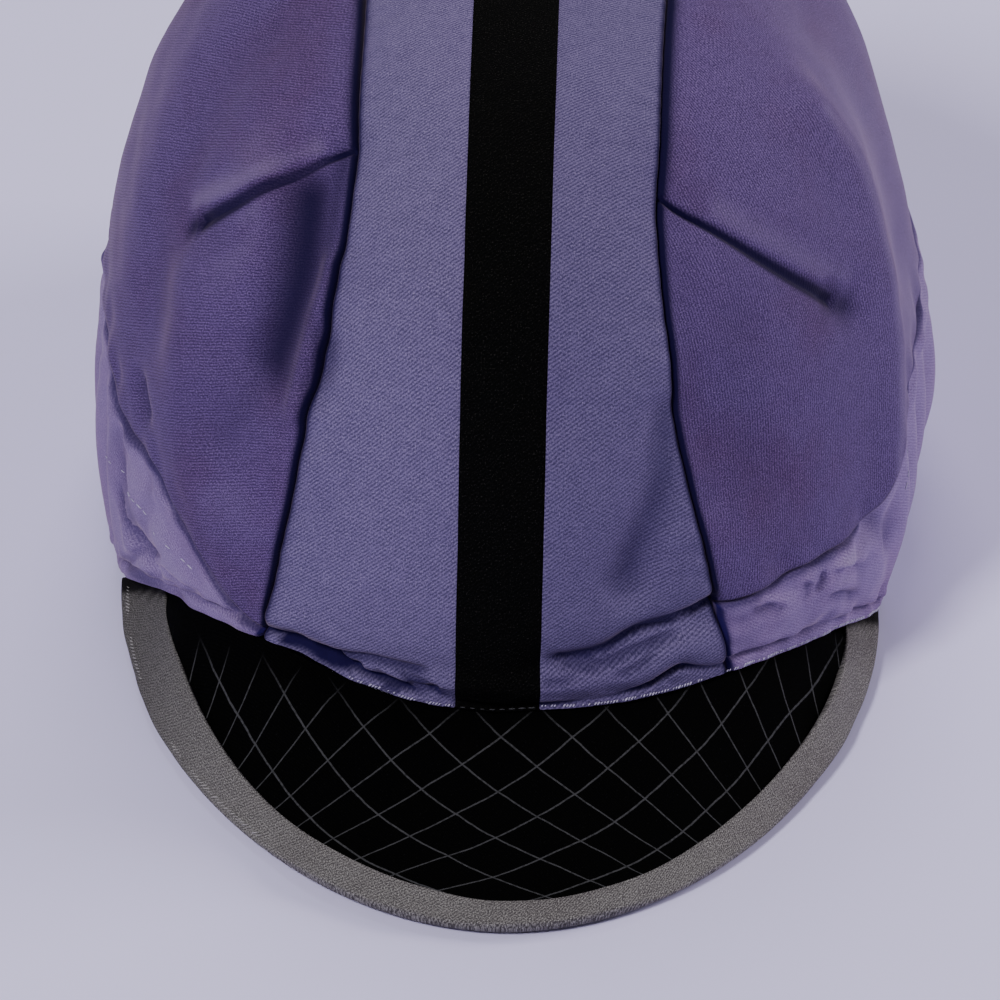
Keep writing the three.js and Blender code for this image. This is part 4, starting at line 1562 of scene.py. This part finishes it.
@dataclass(frozen=True)
class SideBand:
    """The pale gathered band round the sides and the back."""

    crown: Crown
    cloth: float = 1.6
    columns: int = 330
    rows: int = 36
    puff: SideTable = SideTable(
        (
            (30, 0.9, 0.9),
            (60, 0.7, 1.3),
            (72, 0.6, 0.3),
            (82, 0, -0.6),
            (92, -0.1, 1.3),
            (106, 0.2, 1.1),
            (180, 1.2, 1.2),
        )
    )
    front_angle: float = 30.0
    full_angle: float = 75.0
    front_arcs: tuple[float, float] = (2, 60)  # between which the band's front ends lie
    gather_depth: float = 0.8
    gather_count: int = 38  # all the way round
    gather_wander: float = 2.0
    hem_height: float = 3.0
    crease_depth: float = 1.2
    crease_width: float = 0.8
    draw_in: float = 3.6  # how far the elastic draws the rim in at the right
    draw_in_angle: float = 86.0
    draw_in_reach: float = 19.0  # degrees to each side
    draw_in_height: float = 15.0
    end_roll: float = 1.2  # how deep, and from how far, the front ends roll into their seams
    samples: int = 25
    rounds: int = 12  # of working out where the slanting seam meets each height

    def ends(self, side: Side) -> tuple[Array, Array]:
        """Angle of the band's front end, along the seam, by the share of its height."""
        share = np.linspace(0, 1, self.samples)
        angle = np.full(self.samples, side.value * self.front_angle)
        place = partial(self.crown.seam_place, side)
        for _ in range(self.rounds):
            height = mix(self.crown.rim_height(angle), self.crown.band_height(angle), share)
            arc = self.crown.crossing(place, lambda _, height=height: height, self.front_arcs, self.samples)
            angle = angle_of(place(arc))
        return share, angle

    def places(self, across: Array, along: Array) -> tuple[Array, Array, Array]:
        """Angle from the front, height, and the distance to the nearer front end."""
        start = np.interp(along, *self.ends(Side.RIGHT))
        end = 360 + np.interp(along, *self.ends(Side.LEFT))
        turn = mix(start, end, across)
        angle = np.where(turn > 180, turn - 360, turn)
        height = mix(self.crown.rim_height(angle), self.crown.band_height(angle), along)
        to_end = np.minimum(turn - start, end - turn) * DEGREE * self.crown.dome.half_depth
        return angle, height, to_end

    def to_edges(self, angle: Array, height: Array) -> tuple[Array, Array]:
        """Height over the rim, and how far the upper edge is above."""
        return height - self.crown.rim_height(angle), self.crown.band_height(angle) - height

    def rise(self, angle: Array, height: Array, along: Array, to_end: Array, lay: Lay) -> tuple[Array, Array]:
        """How far the band stands out, and the shade painted on it: a puff, gathers, a stitched hem and
        puckers.
        """
        round_off = np.sin(math.pi * np.clip(along, 0, 1) ** 1.4) ** 0.8
        grow = np.clip((np.abs(angle) - self.front_angle) / (self.full_angle - self.front_angle), 0, 1)
        puff = self.puff.read(np.abs(angle), angle > 0)
        turn = angle * DEGREE
        gather = np.cos(turn * self.gather_count + self.gather_wander * np.sin(turn * 5))
        stand = round_off * (puff + self.gather_depth * gather * mix(0.25, 1, ease(grow * 1.2 - 0.2)))
        over_rim, under_top = self.to_edges(angle, height)
        crease = np.exp(-np.abs((over_rim - self.hem_height) / self.crease_width) ** 1.5)
        stand -= self.crease_depth * crease * np.clip(0.8 + 0.3 * cloth_noise(lay.point, 20, 24), 0.2, 1.2)
        stand += 0.4 * cloth_noise(lay.point, 8, 21) * bell(under_top - 3, 5)
        stand += 0.35 * cloth_noise(lay.point, 6, 22) * bell(over_rim - self.hem_height - 1, 4)
        stand += 0.25 * cloth_noise(lay.point, 26, 23)
        drawn = self.draw_in * bell(height, self.draw_in_height)
        stand -= drawn * bell(angle - self.draw_in_angle, self.draw_in_reach)
        folds, dark = self.crown.fold_form(lay, BAND_FOLDS)
        stand += folds
        end = quarter_round(to_end, self.end_roll, self.end_roll)
        # painted shade in the gathers' valleys, the hem crease, under the upper edge and at the front ends,
        # with a faint random mottle of lighter and darker
        valley = 0.16 * ease(-gather) * round_off + 0.05 * cloth_noise(lay.point, 14, 25)
        shade = lay_shades(dark, 0.45 * crease, 0.7 * groove_shade(under_top), groove_shade(to_end))
        return stand + np.minimum(self.crown.seam_drop(under_top), end), shade + valley

    def surface(self, angle: Array, height: Array) -> tuple[Array, Array]:
        """Places of the outer face, away from its front ends, and the ways out of it."""
        lay = self.crown.lay_at(angle, height)
        rim, top = self.crown.rim_height(angle), self.crown.band_height(angle)
        rise, _ = self.rise(angle, height, (height - rim) / (top - rim), np.full(len(angle), FAR), lay)
        return lay.raised(rise), lay.normal

    def shape(self, across: Array, along: Array) -> Cloth:
        """Both faces of the band at the given shares."""
        angle, height, to_end = self.places(across, along)
        lay = self.crown.lay_at(angle, height)
        rise, dark = self.rise(angle, height, along, to_end, lay)
        flat = np.column_stack([angle * DEGREE * self.crown.dome.half_depth, height])
        return lay.wall(rise, self.cloth, flat, dark)

    def fineness(self, across: Array, along: Array) -> Array:
        """Finer cells near the band's edges and its stitched hem."""
        angle, height, to_end = self.places(across, along)
        over_rim, under_top = self.to_edges(angle, height)
        to_hem = np.abs(over_rim - self.hem_height)
        return finer(np.minimum.reduce([over_rim + 1.2, to_hem + 0.9, under_top, to_end]), 1.9, 4.5)

    def build(self) -> None:
        """Makes the band."""
        weaver = Weaver(self.shape, self.fineness, self.columns, self.rows)
        dress(weaver.weave("side_band_cloth"), BAND_CLOTH.build(), "band_cloth", "side_band")


@dataclass(frozen=True)
class Lattice:
    """The peak's diamond lines, which stand in rows that bow round the crown and in columns that fan out.

    Args:
        middle: x of the column of crossings in the middle.
        start: y of the first row.
        row: from row to row, where they begin.
        widen: how much farther apart the rows are with each millimetre out.
        bow: how much the rows bend back towards their ends.
        column: half of the way from crossing to crossing along a row.
        fan: how much wider a row's columns are than the last row's.
        spread: the same, growing with the row's number.
        crowd: distance across at which the columns lie twice as dense.
        lean: how far the middle leans to the left with each row.
        count: added to the lines' numbers. It is odd, so the first row's crossings lie beside the middle.
    """

    middle: float = 1.0
    start: float = -97.7
    row: float = 6.65
    widen: float = 0.0108
    bow: float = 0.00163
    column: float = 6.87
    fan: float = 0.0087
    spread: float = 0.0067
    crowd: float = 114.6
    lean: float = 0.114
    count: int = 9

    def lines(self, x: Array, y: Array) -> Array:
        """Numbers of the falling and the rising line through each place, whole where one passes."""
        across = x - self.middle
        out = self.start - y + self.bow * across**2
        row = out / self.row * (1 + self.widen * out)
        across = across + self.lean * row
        wide = self.column * (1 + self.fan * row + self.spread * row**2)
        column = across / wide * (1 + (across / self.crowd) ** 2)
        return np.column_stack([self.count + column - row, self.count + column + row]) / 2


@dataclass(frozen=True)
class Peak:
    """The peak's black cloth and the folded binding on its edge."""

    crown: Crown
    lattice: Lattice = Lattice()
    half_width: float = 74.6
    reach: float = 108.4
    corner_y: float = -33.6
    power: float = 1.93
    lean_corners: float = -1.0  # how far they lie to the right of the middle
    lean_tip: float = 1.1
    root_angle: float = 66.0
    end: float = 0.97
    ease_power: float = 1.2
    root_drop: float = 1.4
    root_inset: float = 1.5
    corner_drop: float = 2.6  # the corners run on under the band
    corner_inset: float = 9.0
    corner_rise: float = 1.5
    under_from: float = 0.6  # share of the way across at which the corners begin
    cloth: float = 1.4
    binding_cloth: float = 0.8
    binding_gap: float = 0.1
    binding_edge: float = 0.35  # height of the square part of its inner edge
    edge_height: float = 2.0
    width: SideTable = SideTable(
        (
            (0, 5.2, 5.2),
            (0.2, 6.6, 5.2),
            (0.4, 8.2, 7),
            (0.55, 11, 8),
            (0.7, 14, 8.4),
            (0.85, 12.6, 8.3),
            (1, 12, 8),
        )
    )
    nose: float = 1.2
    end_tilt: float = 54.0  # of the slanting cuts behind which painted shadow makes the binding's ends black
    left_end: float = -10.2
    right_end: float = -12.2
    end_blur: float = 1.8
    clear: float = 0.7  # of the peak's cloth always shows above the binding
    columns: int = 190
    rows: int = 60
    steps: int = 420

    @property
    def inside(self) -> float:
        """Height of the binding's inner face over the peak's middle."""
        return self.cloth / 2 + self.binding_gap

    @property
    def outside(self) -> float:
        """Height of the binding's outer face over the peak's middle."""
        return self.inside + self.binding_cloth

    def middle(self, across: Array, out: Array) -> Array:
        """Middle of the peak's cloth: across from -1 to 1, out from 0 at the root to 1 at the edge."""
        angle = across * self.root_angle
        rim = self.crown.rim_height(angle)
        lay = self.crown.lay_at(angle, rim)
        under = self.under(across)
        root = lay.raised(-mix(self.root_inset, self.corner_inset, under))
        lowest = self.cloth / 2 + under * (self.binding_gap + self.binding_cloth)
        root[:, 2] = np.maximum(rim - mix(self.root_drop, self.corner_drop, under), lowest)
        side = np.sin(across * math.pi / 2)
        front = np.abs(np.cos(across * math.pi / 2))
        circle = (np.abs(side) ** self.power + front**self.power) ** (-1 / self.power)
        edge = np.column_stack(
            [
                self.half_width * side * circle + mix(self.lean_corners, self.lean_tip, front),
                self.corner_y - self.reach * front * circle,
                self.edge_height + self.corner_rise * under * (across < 0),
            ]
        )
        place = mix(root, edge, out[:, None])
        place[:, 2] = mix(edge[:, 2], root[:, 2], np.clip(1 - out, 0, 1) ** self.ease_power)
        return place

    def at(self, across: Array, out: float) -> Array:
        """The same for one share of the way out."""
        return self.middle(across, np.full(len(across), out))

    def under(self, across: Array) -> Array:
        """How far the peak runs on under the band, 0 to 1 at its corners."""
        return ease((np.abs(across) - self.under_from) / (1 - self.under_from))

    def run(self, across: Array) -> Array:
        """From the root to the edge."""
        return self.at(across, 1.0) - self.at(across, 0.0)

    def normal(self, across: Array) -> Array:
        """One way up for the whole length of the peak at each place across."""
        small, out = 0.01, 0.6
        way = np.cross(self.at(across + small, out) - self.at(across - small, out), self.run(across))
        return -way / np.linalg.norm(way, axis=1)[:, None]

    def length(self, across: Array) -> Array:
        """Length of the peak from root to edge."""
        return np.linalg.norm(self.run(across), axis=1)

    def binding_width(self, across: Array) -> Array:
        """Width of the binding's upper face."""
        return np.minimum(self.width.read(np.abs(across), across > 0), self.length(across) - self.clear)

    def shape(self, share: Array, out: Array) -> Cloth:
        """Both faces of the black cloth, with a painted shadow over its root."""
        across = mix(-self.end, self.end, share)
        place = self.middle(across, out)
        normal = self.normal(across)
        inside = ease(out / 0.15) * ease((1 - out) / 0.2)
        wave = 0.3 * cloth_noise(place, 30, 31) * inside + 0.05 * cloth_noise(place, 9, 32)
        outer = place + normal * (self.cloth / 2 + wave)[:, None]
        inner = place + normal * (wave - self.cloth / 2)[:, None]
        # painted shadow of the crown's rim over the root: full there, gone some 9 mm out, reaching farther
        # out on the left
        from_rim = out * self.length(across) - (self.corner_inset - self.root_inset) * self.under(across)
        reach = mix(3.0, -3.0, ease((across + 0.75) / 0.9))
        return Cloth(outer, inner, place[:, :2], 1 - ease((from_rim - reach) / 9))

    def fineness(self, across: Array, along: Array) -> Array:
        """The cloth's cells are even, so none is halved."""
        return np.zeros(len(across))

    def fan(self, piece: bpy.types.Object) -> None:
        """Stores which line of each of the lattice's two sets passes each point, as a second UV map."""
        points = np.empty(3 * len(piece.data.vertices))
        piece.data.vertices.foreach_get("co", points)
        place = points.reshape(-1, 3)[:, :2] / MM - np.array([0, CROWN_CENTRE_Y])
        store_map(piece, "fan", self.lattice.lines(place[:, 0], place[:, 1]))

    def section(self) -> Array:
        """The folded binding's section: inward share of its width, past the edge, over the middle."""
        back = self.outside
        upper = [
            (1, 0, self.inside),
            (1, 0, back - self.binding_edge),
            (0.99, 0, back - 0.1),
            (0.96, 0, back),
            (0.75, 0, back + 0.12),
            (0.5, 0, back + 0.16),
            (0.25, 0, back + 0.12),
            (0.08, 0, back),
        ]
        turns = np.linspace(70, -70, 8) * DEGREE
        nose = [(0, self.nose * math.cos(turn), back * math.sin(turn)) for turn in turns]
        lower = [(inward, past, -over) for inward, past, over in reversed(upper)]
        inner = [(0, -0.2, -self.inside), (0, -0.2, self.inside)]
        return np.array([*upper, *nose, *lower, *inner])

    def binding_places(self, across: Array) -> tuple[Array, Array]:
        """Places of the binding's section at each place across, and the cloth's own coordinates there."""
        length, width, normal = self.length(across), self.binding_width(across), self.normal(across)
        edge = self.at(across, 1.0)
        outward = edge - self.at(across, 0.9)
        outward /= np.linalg.norm(outward, axis=1)[:, None]
        along = np.concatenate([[0], np.cumsum(np.linalg.norm(np.diff(edge, axis=0), axis=1))])
        rows, lay = [], []
        for inward, past, over in self.section():
            place = self.middle(across, 1 - inward * width / length)
            wave = 0.12 * cloth_noise(place, 14, 41) + 0.3 * cloth_noise(place, 40, 42) * (over > 0)
            rise = over + np.sign(over) * wave * (abs(over) > 1)
            rows.append(place + normal * rise[:, None] + outward * past)
            lay.append(np.column_stack([along, inward * width - past]))
        return np.stack(rows, axis=1).reshape(-1, 3), np.stack(lay, axis=1).reshape(-1, 2)

    def binding(self) -> bpy.types.Object:
        """The folded binding, one closed tube of its section along the edge."""
        across = np.linspace(-self.end, self.end, self.steps)
        points, lay = self.binding_places(across)
        count = len(points) // self.steps
        ring = [(corner, (corner + 1) % count) for corner in range(count)]
        starts = range(0, len(points) - count, count)
        faces = [(at + b, at + b + count, at + a + count, at + a) for at in starts for a, b in ring]
        last = len(points) - count
        faces += [tuple(reversed(range(count))), tuple(last + corner for corner in range(count))]
        made = mesh_object("peak_binding_cloth", points, faces)
        store_map(made, "cloth", lay * MM)
        # painted shade: a little all along the binding, more in its middle and most towards its left end
        dark = 0.04 + 0.08 * bell(across, 0.4) + 0.38 * ease((-0.4 - across) / 0.45)
        store_dark(made, np.maximum(np.repeat(dark, count), self.end_shade(points, np.repeat(across, count))))
        return made

    def end_shade(self, points: Array, across: Array) -> Array:
        """The painted shadow that makes each end of the binding black, where it passes under the band."""
        tilt = self.end_tilt * DEGREE
        back = (points[:, 1] + CROWN_CENTRE_Y) * math.cos(tilt) + points[:, 2] * math.sin(tilt)
        start = np.where(across < 0, self.left_end, self.right_end)
        return ease((back - start) / self.end_blur + 0.5) * (np.abs(across) > self.under_from)

    def build(self) -> None:
        """Makes the peak and its binding."""
        weaver = Weaver(self.shape, self.fineness, self.columns, self.rows, flip=True)
        cloth = weaver.weave("peak_cloth")
        self.fan(cloth)
        dress(cloth, LatticeCloth().build(), "peak_cloth", "peak")
        dress(self.binding(), BINDING_CLOTH.build(), "binding_cloth", "peak_binding")


LEFT_BAND_STITCHES = line((-68, 34.2), (-60.3, 35.4), (-54.5, 35), (-49.5, 34), (-45.5, 32.6))
RIGHT_BAND_STITCHES = line((68.5, 43), (67.6, 37), (64.8, 31))


@dataclass(frozen=True)
class Sewing:
    """The rows of stitches that show. Each row's path is a pair: its points, and the ways out there."""

    crown: Crown
    strips: CentreStrips
    band: SideBand
    peak: Peak
    steps: int = 160
    lift: float = 0.05

    def on_cloth(self, part: CentreStrips | SideBand, angle: Array, height: Array) -> tuple[Array, Array]:
        """A path over a part's outer face."""
        place, out = part.surface(angle, height)
        return place + out * self.lift, out

    def on_rim(self, part: CentreStrips | SideBand, ends: tuple, over: float) -> tuple[Array, Array]:
        """A path along the rim, between two angles, some millimetres over it."""
        angle = np.linspace(*ends, self.steps)
        return self.on_cloth(part, angle, self.crown.rim_height(angle) + over)

    def on_binding(self, ends: tuple[float, float], inward: float) -> tuple[Array, Array]:
        """A path on the binding's upper face, some millimetres in from its edge."""
        across = np.linspace(*ends, self.steps)
        out = self.peak.normal(across)
        place = self.peak.middle(across, 1 - inward / self.peak.length(across))
        return place + out * self.peak.outside, out

    def build(self) -> None:
        """Sews every row."""
        tree = StitchTree.start()
        pale = Thread("pale_thread", linear(206, 200, 222), linear(120, 108, 150)).build()
        grey = Thread("grey_thread", linear(176, 172, 172), linear(96, 92, 94)).build()
        black = Thread("black_thread", linear(58, 58, 64), linear(14, 14, 16)).build()
        hem = partial(StitchRow, thread=pale, pitch=0.6, length=0.75, radius=0.15, slant=55)
        stripe = partial(StitchRow, thread=black, pitch=1.9, length=1.2, radius=0.12)
        seam = partial(StitchRow, thread=pale, pitch=2.1, length=1.5, radius=0.11, kept=0.8)
        edge = partial(StitchRow, thread=grey, pitch=1.05, length=1.5, radius=0.12, slant=35)
        strips, band = self.strips, self.band
        left, right = LEFT_BAND_STITCHES.run(self.steps), RIGHT_BAND_STITCHES.run(self.steps)
        rows = (
            ("band_cloth", hem("band_hem_stitches_right", *self.on_rim(band, (31.5, 66), 0.55), kept=0.85)),
            ("centre_cloth", hem("front_hem_stitches_right", *self.on_rim(strips, (6, 28), 0.5), kept=0.75)),
            ("centre_cloth", hem("front_hem_stitches_left", *self.on_rim(strips, (-20, -6), 0.5), kept=0.6)),
            ("stripe_cloth", stripe("stripe_hem_stitches", *self.on_rim(strips, (-4.6, 4.6), 0.35))),
            ("band_cloth", seam("band_stitches_left", *self.on_cloth(band, *left))),
            ("band_cloth", seam("band_stitches_right", *self.on_cloth(band, *right))),
            ("binding_cloth", edge("binding_stitches_left", *self.on_binding((-0.95, -0.42), 0.9))),
        )
        for slot, row in rows:
            dress(row.sew(tree), row.thread, slot)


# The studio


@dataclass(frozen=True)
class Studio:
    """A pale floor, soft lights and the camera, placed round the point under the crown's centre."""

    elevation: float = 36.0
    azimuth: float = 1.0
    distance: float = 1.65
    pixel: float = 0.000204  # size of a pixel of the photograph at the target, in metres
    target_pixel: tuple[float, float] = (509.5, 494.5)
    image: float = 1000.0
    roll: float = 1.0
    sensor: float = 36.0
    floor_half: float = 4.0
    floor_colour: Colour = linear(222, 216, 255)
    floor_grain: Colour = linear(190, 188, 204)
    aim_height: float = 0.06
    sky_colour: Colour = (0.85, 0.84, 0.9)
    sky_strength: float = 0.2

    def target(self) -> Vector:
        """The point on the table under the crown's centre."""
        return Vector((0, CROWN_CENTRE_Y * MM, 0))

    def camera(self) -> None:
        """The camera at the photograph's angle."""
        tilt, turn = self.elevation * DEGREE, self.azimuth * DEGREE
        right = Vector((math.cos(turn), math.sin(turn), 0))
        back = Vector((math.cos(tilt) * math.sin(turn), -math.cos(tilt) * math.cos(turn), math.sin(tilt)))
        up = back.cross(right)
        middle = self.image / 2
        left = (self.target_pixel[0] - middle) * self.pixel
        down = (middle - self.target_pixel[1]) * self.pixel
        place = self.target() + back * self.distance - right * left - up * down
        data = bpy.data.cameras.new("camera")
        data.sensor_width = self.sensor
        data.lens = data.sensor_width * self.distance / (self.image * self.pixel)
        made = link("camera", data)
        spin = Matrix.Rotation(self.roll * DEGREE, 3, back)
        axes = Matrix((spin @ right, spin @ up, back)).transposed()
        made.matrix_world = Matrix.Translation(place) @ axes.to_4x4()
        bpy.context.scene.camera = made

    def floor(self) -> None:
        """The pale floor."""
        half = self.floor_half
        mesh = bpy.data.meshes.new("floor")
        corners = [(-half, -half, 0), (half, -half, 0), (half, half, 0), (-half, half, 0)]
        mesh.from_pydata(corners, [], [(0, 1, 2, 3)])
        made = link("floor", mesh)
        shader = Shader.start("pale_floor")
        grain = shader.noise(shader.object_place(), 30, 3)
        colour = shader.blend(grain * 0.06, self.floor_colour, self.floor_grain)
        sockets = {"Base Color": colour, "Roughness": 0.9, "Specular IOR Level": 0.1}
        mesh.materials.append(shader.finish(sockets))

    def light(self, name: str, place: tuple, size: float, power: float, colour: Colour) -> None:
        """A square soft light that faces the cap."""
        data = bpy.data.lights.new(name, "AREA")
        data.shape = "SQUARE"
        data.size = size
        data.energy = power
        data.color = colour
        made = link(name, data)
        made.location = place
        way = self.target() + Vector((0, 0, self.aim_height)) - Vector(place)
        made.rotation_euler = way.to_track_quat("-Z", "Y").to_euler()

    def build(self) -> None:
        """Sets up the studio."""
        self.camera()
        self.floor()
        self.light("key", (-0.8, -1.1, 1.45), 0.42, 29, (1.0, 0.99, 1.0))
        self.light("fill", (1.6, 0.4, 0.75), 0.7, 21, (1.0, 0.95, 0.98))
        self.light("back", (-0.1, 1.1, 1.5), 0.8, 12, (0.98, 0.97, 1.0))
        world = bpy.data.worlds.new("studio")
        world.use_nodes = True
        sky = world.node_tree.nodes["Background"]
        sky.inputs["Color"].default_value = full_colour(self.sky_colour)
        sky.inputs["Strength"].default_value = self.sky_strength
        bpy.context.scene.world = world


def main() -> None:
    """Builds the whole cap in its studio and reports each piece."""
    logging.basicConfig(level=logging.INFO, format="%(name)s: %(message)s")
    crown = Crown()
    Studio().build()
    strips, band, peak = CentreStrips(crown), SideBand(crown), Peak(crown)
    strips.build()
    SidePanels(crown).build()
    band.build()
    peak.build()
    Sewing(crown, strips, band, peak).build()
    bpy.context.view_layer.update()


if __name__ == "__main__":
    main()
